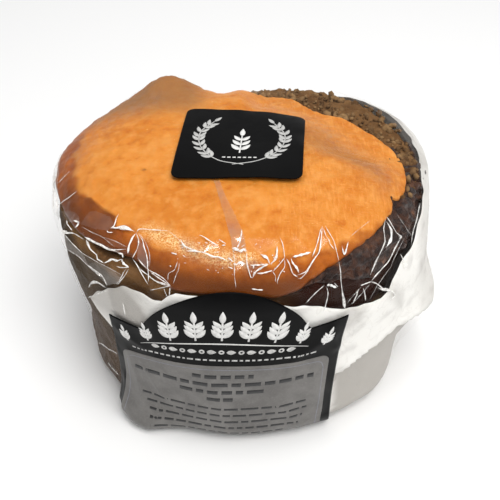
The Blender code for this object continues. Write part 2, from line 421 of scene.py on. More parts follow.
# crust
crust = {
    "inset": 2.5,            # from the film to the crust's wall
    "leftInset": 1.0,        # and where no paper lies between them
    "wallTop": 57.2,         # where the wall turns over into the rim
    "rimTurn": 2.4,
    "rimInset": 0.7,         # from the film down to the bare rim at the back right
    "corner": 2.4,           # how far its back right corner reaches out
    "frontTop": 57.6,        # its height under the cheese's edge
    "underCheese": 2.6,
    "columns": 420,
    "roughness": 0.4,        # how far its crumb stands out
}


def crustFinish():
    finish = Finish("baked crust")
    broad = finish.noise(0.09, 3.0)
    grain = finish.noise(0.7, 5.0, 0.65)
    pits = finish.noise(2.2, 3.0, 0.7)
    colour = finish.tint(finish.mask(broad, 0.35, 0.7), (0.118, 0.058, 0.023), (0.210, 0.112, 0.046))
    colour = finish.tint(finish.mask(grain, 0.5, 0.78) * 0.75, colour, (0.27, 0.14, 0.058))
    colour = finish.tint(finish.mask(grain, 0.42, 0.2) * 0.7, colour, (0.028, 0.012, 0.007))
    # a dark glossy stain up the right wall, joined low on the left by painted shade
    stain = finish.painted("stain")
    colour = finish.tint(stain, colour, finish.tint(broad, (0.014, 0.0045, 0.003), (0.04, 0.014, 0.009)))
    # painted reflection of the film: greys the bare crust on the left to taupe
    pale = finish.painted("pale")
    colour = finish.tint(pale, colour, finish.tint(finish.mask(broad, 0.3, 0.7), (0.052, 0.036, 0.023), (0.108, 0.077, 0.051)))
    rough = 0.72 - stain * 0.4
    normal = finish.bump(grain + pits * 0.4, 0.55, 0.5)
    shader = finish.add("BsdfPrincipled", {}, {
        "Base Color": colour, "Roughness": rough, "Normal": normal, "Specular IOR Level": 0.02})
    return finish.done(shader)


def buildCrust():
    columns = crust["columns"]
    angle = np.linspace(-180.0, 180.0, columns, endpoint=False)[:, None]
    levels = np.concatenate([np.linspace(0.5, pack["edgeHeight"], 9), np.linspace(10.0, crust["wallTop"] - 2.2, 46)])
    radius = crustRadius(angle, levels[None, :])
    wall = around(angle, radius, np.broadcast_to(levels, radius.shape))
    base = np.stack([around(angle[:, 0], share * radius[:, 0], np.full(columns, 0.5)) for share in (0.02, 0.6)], 1)
    # the rim runs from the wall's top inwards, under the film
    turnShare = np.linspace(0.0, 1.0, 7)[None, 1:]
    outer = crustRadius(angle, pack["shoulder"])
    rimStart = outer - crust["rimTurn"]
    x, y = rimStart * np.sin(np.radians(angle)), -rimStart * np.cos(np.radians(angle))
    turn = angle % 360.0
    bare = ease((turn - 60) / 30) * (1 - ease((turn - 166) / 14))
    rimLevel = topPoint(x, y)[..., 2] - crust["rimInset"] - crust["underCheese"] * (1 - bare)
    rimLevel = np.minimum(rimLevel, crust["frontTop"] + (pack["rimHeight"] + 0.4 - crust["frontTop"]) * bare)
    turned = around(angle, outer - crust["rimTurn"] * (1.0 - np.cos(turnShare * math.pi / 2)),
                    levels[-1] + (rimLevel - levels[-1]) * np.sin(turnShare * math.pi / 2))
    inward = np.linspace(0.0, 1.0, 32)[None, 1:]
    radius = rimStart * (1.0 - inward) + 14.0 * inward
    level = pack["rimHeight"] + pack["backSlope"] * (pack["rimRadius"] - radius) - crust["rimInset"]
    level = rimLevel + (level - level[:, :1]) - 2.4 * ease((44.0 - radius) / 8.0)
    under = around(angle, radius, level)
    points = np.concatenate([base, wall, turned, under], 1)
    flat = points.reshape(-1, 3)
    outwards = flat * (1, 1, 0)
    outwards = outwards / np.maximum(np.linalg.norm(outwards, axis=1, keepdims=True), 1e-6)
    upper = ease((flat[:, 2] - 54.0) / 4.0)[:, None]
    heading = outwards * (1 - upper * 0.8) + np.array([0, 0, 1.0]) * upper
    crumb = ripple(flat, 1.7, 21) * 0.5 + ripple(flat, 3.6, 22) * 0.8
    swelling = ripple(flat, 16.0, 23) * 0.45
    share = np.where(flat[:, 2] < 1.0, 0.0, crust["roughness"] * (0.35 + 0.65 * upper[:, 0]))
    flat = flat + heading * (np.clip(crumb, -2, 1.1) * share + swelling * (share > 0) - 0.3)[:, None]
    faces = gridFaces(columns, points.shape[1], closed=True)
    rows = points.shape[1]
    middle = len(flat)
    flat = np.vstack([flat, (0, 0, 0.5), (0, 0, flat[rows - 1::rows, 2].mean())])
    for column in range(columns):
        after = (column + 1) % columns
        faces.append((middle, column * rows, after * rows))
        faces.append((middle + 1, after * rows + rows - 1, column * rows + rows - 1))
    piece = makePiece("crust", flat, faces, crustFinish())
    turn = np.degrees(np.arctan2(flat[:, 0], -flat[:, 1]))
    # the right wall's own dark glossy stain
    stain = ease((turn - 2) / 16) * ease((100 - turn) / 22) * ease((flat[:, 2] - 30 + 6 * ripple(flat, 9.0, 24)) / 8)
    # painted film reflection over the bare crust on the left
    pale = ease((-34 - turn) / 8) * ease((turn + 160) / 30) * ease((56 - flat[:, 2]) / 4)
    # painted shade: darker low on the left side, where it also thins the painted film reflection
    low = ease((-30 - turn) / 8) * ease((turn + 160) / 30) * ease((38 - flat[:, 2]) / 16)
    stain = np.maximum(stain, 0.7 * low)
    pale = pale * (1 - 0.4 * low)
    for name, values in (("stain", stain), ("pale", pale)):
        piece.data.attributes.new(name, "FLOAT", "POINT").data.foreach_set("value", values.astype(np.float32))
    return piece


# loose crumbs on the bare rim
rimCrumbs = {"count": 260, "size": (0.45, 1.45), "from": 64.0, "to": 176.0, "seed": 31, "sunk": 0.55}


def crumbFinish():
    finish = Finish("baked crumbs")
    grain = finish.noise(1.1, 4.0, 0.7)
    pick = finish.noise(0.22, 1.0)
    colour = finish.tint(finish.mask(pick, 0.35, 0.66), (0.10, 0.052, 0.023), (0.26, 0.155, 0.070))
    colour = finish.tint(finish.mask(grain, 0.55, 0.8), colour, (0.36, 0.22, 0.10))
    shader = finish.add("BsdfPrincipled", {}, {
        "Base Color": colour, "Roughness": 0.75, "Normal": finish.bump(grain, 0.5, 0.3),
        "Specular IOR Level": 0.05})
    return finish.done(shader)


def roughBall(rng, size):
    # a small uneven lump, as points and faces
    bm = bmesh.new()
    bmesh.ops.create_icosphere(bm, subdivisions=1, radius=1.0)
    stretch = rng.uniform(0.6, 1.25, 3)
    spin = rng.uniform(0, 2 * math.pi)
    points = np.array([vertex.co for vertex in bm.verts]) * rng.uniform(0.75, 1.2, (len(bm.verts), 1)) * stretch * size
    faces = [[vertex.index for vertex in face.verts] for face in bm.faces]
    bm.free()
    swing = np.array([[math.cos(spin), -math.sin(spin), 0], [math.sin(spin), math.cos(spin), 0], [0, 0, 1]])
    return points @ swing.T, faces


def scatterLumps(rng, spots):
    # joins a lump at each spot of (point, size)
    points, faces, start = [], [], 0
    for spot, size in spots:
        lump, lumpFaces = roughBall(rng, size)
        points.append(lump + spot)
        faces += [[start + index for index in face] for face in lumpFaces]
        start += len(lump)
    return np.concatenate(points), faces


def buildRimCrumbs():
    rng = np.random.default_rng(rimCrumbs["seed"])
    spots = []
    while len(spots) < rimCrumbs["count"]:
        angle = rng.uniform(rimCrumbs["from"], rimCrumbs["to"])
        inner = roundTable(cheeseEdge, angle)
        distance = inner + rng.uniform(-0.5, 1.0) * max(1.0, 51.5 - inner)
        distance = min(distance, 51.8)
        size = rimCrumbs["size"][0] + (rimCrumbs["size"][1] - rimCrumbs["size"][0]) * rng.uniform() ** 2.2
        if distance < inner or rng.uniform() > ease((angle - 70) / 25) + 0.15:
            continue
        spots.append((onSheet(angle, distance, -crust["rimInset"] - rimCrumbs["sunk"]), size))
    points, faces = scatterLumps(rng, spots)
    piece = makePiece("rimCrumbs", points, faces, crumbFinish())
    return piece


# chutney
chutney = {"from": 4.0, "to": 120.0, "columns": 300, "rows": 46, "seed": 41, "sink": 2.6}


def chutneyFinish():
    finish = Finish("tomato chutney")
    lumps = finish.noise(0.35, 3.0)
    fine = finish.noise(1.6, 3.0)
    colour = finish.tint(finish.mask(lumps, 0.42, 0.62), (0.018, 0.008, 0.006), (0.060, 0.024, 0.013))
    colour = finish.tint(finish.mask(lumps, 0.62, 0.78) * 0.8, colour, (0.17, 0.07, 0.03))
    shader = finish.add("BsdfPrincipled", {}, {
        "Base Color": colour, "Roughness": 0.3 + fine * 0.15, "Normal": finish.bump(lumps + fine * 0.3, 0.5, 0.5),
        "Specular IOR Level": 0.25, "Coat Weight": 0.16, "Coat Roughness": 0.1})
    return finish.done(shader)


def buildChutney():
    angle = np.linspace(chutney["from"], chutney["to"], chutney["columns"])[:, None]
    share = np.linspace(0.0, 1.0, chutney["rows"])[None, :]
    inner = roundTable(cheeseEdge, angle, 1.0) - 5.0
    fade = ease((angle - chutney["from"]) / 12) * ease((chutney["to"] - angle) / 26)
    outer = inner + 3.0 + (61.0 + 3.0 * ripple(around(angle, 50.0, 0.0), 14.0, 42) - inner - 3.0) * fade
    distance = inner + (outer - inner) * share
    spots = sheetPoint(angle, distance)
    lumps = np.maximum(0, ripple(spots, 4.2, chutney["seed"])) * 1.1 + ripple(spots, 1.8, 43) * 0.22
    edge = ease(share / 0.1) * ease((1 - share) / 0.12) * fade
    depth = 3.4 - 1.6 * edge - np.clip(lumps, -0.4, 1.1) * edge
    depth = np.where(distance > 56, depth + 0.5, depth)
    depth = depth + chutney["sink"] * ease((roundTable(cheeseEdge, angle) - 0.4 - distance) / 1.2)
    points = onSheet(angle, distance, -depth)
    piece = makePiece("chutney", points, gridFaces(chutney["columns"], chutney["rows"]), chutneyFinish())
    return piece


# cheese
cheese = {
    "columns": 480,
    "topRows": 84,
    "lipRows": 12,
    "topDepth": 0.55,         # under the film on the flat top
    "sideDepth": 1.0,         # and where it rounds over
    "backDepth": 0.35,        # and round the back left, where it fills the film
    "thick": 4.6,
    "thinAtBack": 2.2,
}


def cheeseFinish():
    finish = Finish("melted red cheese")
    broad = finish.noise(0.045, 3.0, 0.6)
    mottle = finish.noise(0.28, 5.0, 0.62)
    streaks = finish.noise(0.5, 4.0, 0.6, stretch=(3.4, 0.5, 1.2))
    weave = finish.noise(0.8, 3.0, 0.6, stretch=(0.6, 3.2, 1.4))
    fine = finish.noise(2.6, 3.0, 0.7)
    flecks = finish.noise(1.25, 2.0, 0.5, stretch=(0.75, 1.1, 1.0))
    side = finish.painted("side")
    right = finish.painted("right")
    colour = finish.tint(finish.mask(broad, 0.35, 0.68), (0.60, 0.188, 0.016), (0.69, 0.248, 0.034))
    colour = finish.tint(finish.mask(mottle, 0.44, 0.68) * 0.65, colour, (0.74, 0.312, 0.070))
    colour = finish.tint(finish.mask(mottle, 0.46, 0.26) * 0.75, colour, (0.52, 0.128, 0.007))
    # on the right half, streaks and a weave: the cheese's grain together with painted reflections of the film's
    # undulation
    colour = finish.tint(finish.mask(streaks, 0.5, 0.7) * right * 0.5, colour, (0.80, 0.34, 0.085))
    colour = finish.tint(finish.mask(streaks, 0.46, 0.3) * right * 0.55, colour, (0.54, 0.165, 0.016))
    colour = finish.tint(finish.mask(weave, 0.56, 0.7) * right * 0.3, colour, (0.9, 0.44, 0.14))
    colour = finish.tint(finish.mask(flecks, 0.72, 0.8) * (1 - side) * 0.7, colour, (0.93, 0.56, 0.2))
    amber = finish.tint(finish.mask(mottle, 0.35, 0.7), (0.31, 0.070, 0.004), (0.45, 0.118, 0.008))
    # painted shade: the back-left hump and the left edge of the top dimmed toward brown, with a darker diagonal band on
    # the right
    dull = finish.painted("dull")
    colour = finish.tint(dull * (0.55 + broad * 0.7), colour, (0.27, 0.125, 0.045))
    # the rounding side's amber: its own deeper colour, with painted shade on the left
    colour = finish.tint(side, colour, amber)
    # painted shade: the lower part of the rounding lip, at the front and on the left, darkened toward deep brown
    low = finish.painted("low")
    colour = finish.tint(low * 0.9, colour, (0.115, 0.028, 0.003))
    shine = finish.painted("shine") * finish.mask(fine, 0.42, 0.62)
    colour = finish.tint(shine * 0.95, colour, (0.99, 0.74, 0.38))
    colour = finish.tint(finish.painted("spot"), colour, (0.03, 0.012, 0.006))
    rough = 0.5 - side * 0.14 + fine * 0.1
    normal = finish.bump(mottle + fine * 0.4 + weave * 0.5 * right, 0.45, 0.5)
    shader = finish.add("BsdfPrincipled", {}, {
        "Base Color": colour, "Roughness": rough, "Normal": normal, "Subsurface Weight": 0.12,
        "Subsurface Radius": (1.0, 0.35, 0.1), "Subsurface Scale": 0.0015,
        "Specular IOR Level": 0.3})
    return finish.done(shader)


def cheeseDepth(angle, distance):
    side = cheese["topDepth"] + (cheese["sideDepth"] - cheese["topDepth"]) * ease((distance - 38) / 12)
    turn = angle % 360.0
    behind = ease((turn - 172) / 10) * (1 - ease((turn - 262) / 18))
    return side + (cheese["backDepth"] - side) * behind


def buildCheese():
    columns = cheese["columns"]
    angle = np.linspace(-180.0, 180.0, columns, endpoint=False)[:, None]
    edge = roundTable(cheeseEdge, angle, 0.6)
    turn = angle % 360.0
    thin = ease((turn - 40) / 40) * (1 - ease((turn - 175) / 15))
    thick = cheese["thick"] + (cheese["thinAtBack"] - cheese["thick"]) * thin
    lip = thick / 2
    share = np.linspace(0.012, 1.0, cheese["topRows"])[None, :]
    distance = (edge - lip * 0.7) * share ** 0.8
    depth = cheeseDepth(angle, distance)
    roll = np.linspace(0.0, math.pi, cheese["lipRows"])[None, 1:]
    lipDistance = edge - lip * 0.7 + lip * 0.7 * np.sin(roll)
    lipDepth = cheeseDepth(angle, lipDistance) + lip * (1.0 - np.cos(roll))
    inDistance = (edge - lip * 0.7) * np.array([0.93, 0.8])[None, :]
    inDepth = cheeseDepth(angle, inDistance) + thick
    distance = np.concatenate([distance, lipDistance, inDistance], 1)
    depth = np.concatenate([depth, lipDepth, inDepth], 1)
    spots = onSheet(angle, distance, -depth)
    rough = ripple(spots, 9.0, 51) * 0.16 + ripple(spots, 3.4, 52) * 0.09 + ripple(spots, 1.5, 53) * 0.05
    rough = rough - 0.12
    reach = ease(distance / 6.0)
    points = onSheet(angle, distance, -depth + np.clip(rough, -0.5, 0.25) * reach)
    rows = points.shape[1]
    flat = np.vstack([points.reshape(-1, 3), topPoint(0.0, 0.0, -cheese["topDepth"] - 0.12)])
    faces = gridFaces(columns, rows, closed=True)
    middle = len(flat) - 1
    faces += [((column + 1) % columns * rows, column * rows, middle) for column in range(columns)]
    piece = makePiece("cheese", flat, [face[::-1] for face in faces], cheeseFinish())
    # where the rounding side turns amber, from the left round to the front right: the melted edge's own deeper colour,
    # and on the left, from shadedFrom on, painted shade
    sideFrom = np.interp(wrapped(angle), (-52, -44, -34, -24, -14, -6, 4), (46.5, 44.8, 44.6, 45.2, 46.6, 47.6, 47.5))
    side = ease((distance - sideFrom + 0.9 * ripple(spots, 5.0, 54)) / 2.2)
    left = ease((-38 - angle) / 6) * ease((angle + 84) / 14)
    shadedFrom = np.interp(angle, (-84, -68, -61, -47, -44, -38), (52, 49, 45.5, 43.8, 46, 49))
    side = np.maximum(side, left * ease((distance - shadedFrom) / 0.8))
    side = side * (1 - 0.75 * ease((turn - 30) / 30) * (1 - ease((turn - 230) / 40)))
    # painted shade down the lip at the front and, more strongly, on the left
    lowFrom = np.interp(wrapped(angle), (-72, -45, -30, -15, 15), (45.5, 45.8, 46.6, 48.0, 49.5))
    low = ease((distance - lowFrom) / 6.5) * (1 - ease((turn - 12) / 16) * (1 - ease((turn - 275) / 20)))
    low = np.maximum(low, 0.7 * left * ease((distance - shadedFrom) / 0.8))
    x, y = points[..., 0], points[..., 1]
    # painted shade on the back-left hump and the left edge, and a darker diagonal band on the right
    dull = np.maximum(ease((y - 7) / 17) * ease((-6 - x) / 12) * 0.9, ease((-43 - x) / 8) * 0.6)
    across = ((x - 23) * 0.71 + (y - 3) * 0.71 + 1.5 * ripple(spots, 11.0, 56)) / 7
    dull = np.maximum(dull, 0.5 * ease((x - 12) / 8) * ease((44 - x) / 10) * np.exp(-across ** 2))
    right = ease((points[..., 0] - 2.0 + 3 * ripple(spots, 20, 55)) / 10)
    # the lit line along the shoulder, and one dark fleck on the left
    shineAt = np.interp(wrapped(angle), (-40, -25, -14, -4, 6), (42.5, 43.8, 45.6, 47.4, 47.0))
    shine = np.exp(-((distance - shineAt) / 2.1) ** 2) * ease((wrapped(angle) + 40) / 12) * ease((9 - wrapped(angle)) / 8)
    spot = np.exp(-((angle + 61.0) / 0.8) ** 2 - ((distance - 29.75) / 0.4) ** 2)
    painted = (("side", side), ("low", low), ("right", right), ("dull", dull), ("shine", shine), ("spot", spot))
    for name, values in painted:
        values = np.append(np.broadcast_to(values, distance.shape).reshape(-1), 0.0).astype(np.float32)
        piece.data.attributes.new(name, "FLOAT", "POINT").data.foreach_set("value", values)
    return piece


# paper wrap
paper = {
    "depth": 0.5,             # under the film
    "columns": 430,
    "rows": 56,
    "end": 240.0,             # its far end, round the back
    "start": -51.0,
    "bottom": 117.6,
    # angle, distance down the sheet of its top edge
    "top": (
        (-51.0, 76.0), (-45.5, 70.3), (-39.5, 65.5), (-33.0, 61.6), (-28.5, 61.3), (-24.0, 62.0), (-21.0, 62.2),
        (-19.0, 59.2), (-17.0, 57.6), (-10.5, 57.6), (0.0, 58.5), (10.0, 60.5), (17.0, 62.4), (21.5, 64.0),
        (29.0, 67.4), (35.5, 68.2), (42.0, 70.0), (44.6, 68.6), (46.0, 65.6), (50.0, 62.0), (54.5, 61.6),
        (58.5, 59.6), (63.0, 57.8), (75.0, 55.0), (87.0, 52.6), (108.0, 52.2), (130.0, 52.6), (141.0, 55.0), (152.0, 59.0),
        (180.0, 62.0), (205.0, 63.0), (225.0, 68.0), (240.0, 80.0),
    ),
    # angle, distance of the fold under which the wrap tucks back at the right
    "fold": ((26.0, 93.0), (32.5, 93.0), (38.0, 91.3), (45.5, 89.6), (53.0, 87.6), (62.0, 88.6), (72.0, 90.5),
             (88.0, 91.0), (110.0, 94.0)),
}


def paperFinish():
    finish = Finish("white wrapping paper")
    broad = finish.noise(0.05, 3.0)
    fibre = finish.noise(1.4, 4.0, 0.7)
    creases = finish.noise(0.13, 2.0, 0.5, distortion=1.6)
    crease = finish.mask(finish.maths("ABSOLUTE", creases - 0.5, 0.0), 0.0, 0.03)
    colour = finish.tint(broad, (0.88, 0.86, 0.815), (0.93, 0.915, 0.875))
    # painted shade: grey lines along the creases
    colour = finish.tint((1 - crease) * 0.25, colour, (0.66, 0.63, 0.58))
    colour = finish.tint(finish.painted("shade") * 0.9, colour, (0.37, 0.345, 0.315))
    normal = finish.bump(crease * 0.6 + fibre * 0.25, 0.3, 0.3)
    shader = finish.add("BsdfPrincipled", {}, {
        "Base Color": colour, "Roughness": 0.6, "Normal": normal, "Subsurface Weight": 0.1,
        "Subsurface Radius": (1.0, 0.9, 0.8), "Subsurface Scale": 0.001})
    return finish.done(shader)


def creasedField(angle, distance, seed, size):
    # crumpled paper: flat facets that meet at sharp folds
    rng = np.random.default_rng(seed)
    x, y = np.radians(angle) * pack["radius"], distance
    field = np.zeros(np.broadcast(x, y).shape)
    for _ in range(9):
        turn = rng.uniform(0, math.pi)
        phase = rng.uniform(0, 1)
        length = size * rng.uniform(0.8, 2.2)
        wave = (x * math.cos(turn) + y * math.sin(turn)) / length + phase
        bend = 0.35 * np.sin(y / (size * 1.7) + rng.uniform(0, 6)) + 0.3 * np.sin(x / (size * 1.3) + rng.uniform(0, 6))
        field += np.abs((wave + bend) % 1.0 - 0.5) * 2 - 0.5
    return field / 3.0


def buildPaper():
    share = np.linspace(0.0, 1.0, paper["columns"])[:, None]
    down = np.linspace(0.0, 1.0, paper["rows"])[None, :]
    angle = paper["start"] + (paper["end"] - paper["start"]) * share
    top = np.interp(angle, *zip(*paper["top"])) + 0.35 * ripple(around(angle, 50.0, 0.0), 5.0, 61)
    distance = top + (paper["bottom"] - top) * down
    angle = angle + 13.0 * ease((distance - 76.0) / 9.0) * (1.0 - ease(share * 12.0))
    angle = angle + 4.0 * ease((share - 0.95) / 0.05) * ripple(around(paper["end"], 50.0, distance), 14.0, 64)
    crumple = creasedField(angle, distance, 62, 14.0)
    small = creasedField(angle, distance, 63, 6.0)
    depth = paper["depth"] + 0.35 + np.clip(0.42 * crumple + 0.16 * small, -0.35, 0.8)
    fold = np.interp(angle, *zip(*paper["fold"]))
    held = ease((angle - 27) / 6) * (1 - ease((angle - 96) / 14))
    below = distance - fold
    tuck = ease(below / 0.7) * np.exp(-np.maximum(below, 0) / 9.0) * 2.3 * held
    lipOver = 0.45 * np.exp(-(below / 2.2) ** 2) * (below < 0.3) * held
    points = onSheet(angle, distance, -(depth + tuck - lipOver))
    piece = makePiece("paperWrap", points, gridFaces(paper["columns"], paper["rows"]), paperFinish())
    shade = 1.0 * ease(below / 0.5) * held + 0.55 * ease(-(crumple + 0.1) / 0.5) + 0.3 * ease(-(small + 0.1) / 0.5)
    shade = shade + 0.4 * ease((angle - 58) / 10) + 0.75 * ease((-20 - angle) / 12) * ease((84 - distance) / 10)
    shade = np.clip(shade, 0, 1)
    attribute = piece.data.attributes.new("shade", "FLOAT", "POINT")
    attribute.data.foreach_set("value", shade.reshape(-1).astype(np.float32))
    return thicken(piece, 0.12)


# clear film
film = {
    "split": 8,               # cells along each side of a facet
    "seed": 71,
    # distance from the crown, points round the pie, unevenness
    "rings": ((8, 8, 0.0), (18, 16, 0.0), (29, 26, 0.5), (37, 34, 0.8), (43, 40, 1.0), (48, 44, 1.2), (53, 46, 1.4),
              (58, 44, 1.6), (64, 40, 2.0), (72, 36, 2.4), (82, 34, 2.6), (93, 34, 2.4), (103, 40, 1.5),
              (110, 48, 0.6), (118.4, 72, 0.0)),
    "clear": 2.4,             # how near a loose point may come to a fold
    "inward": 1.2,            # how far its facets may sink below the smooth sheet, and rise above it
    "outward": 0.4,
    "slender": 0.72,           # thins every bright fold
    "tight": 0.2,             # how little of that it does at the back of the top
}
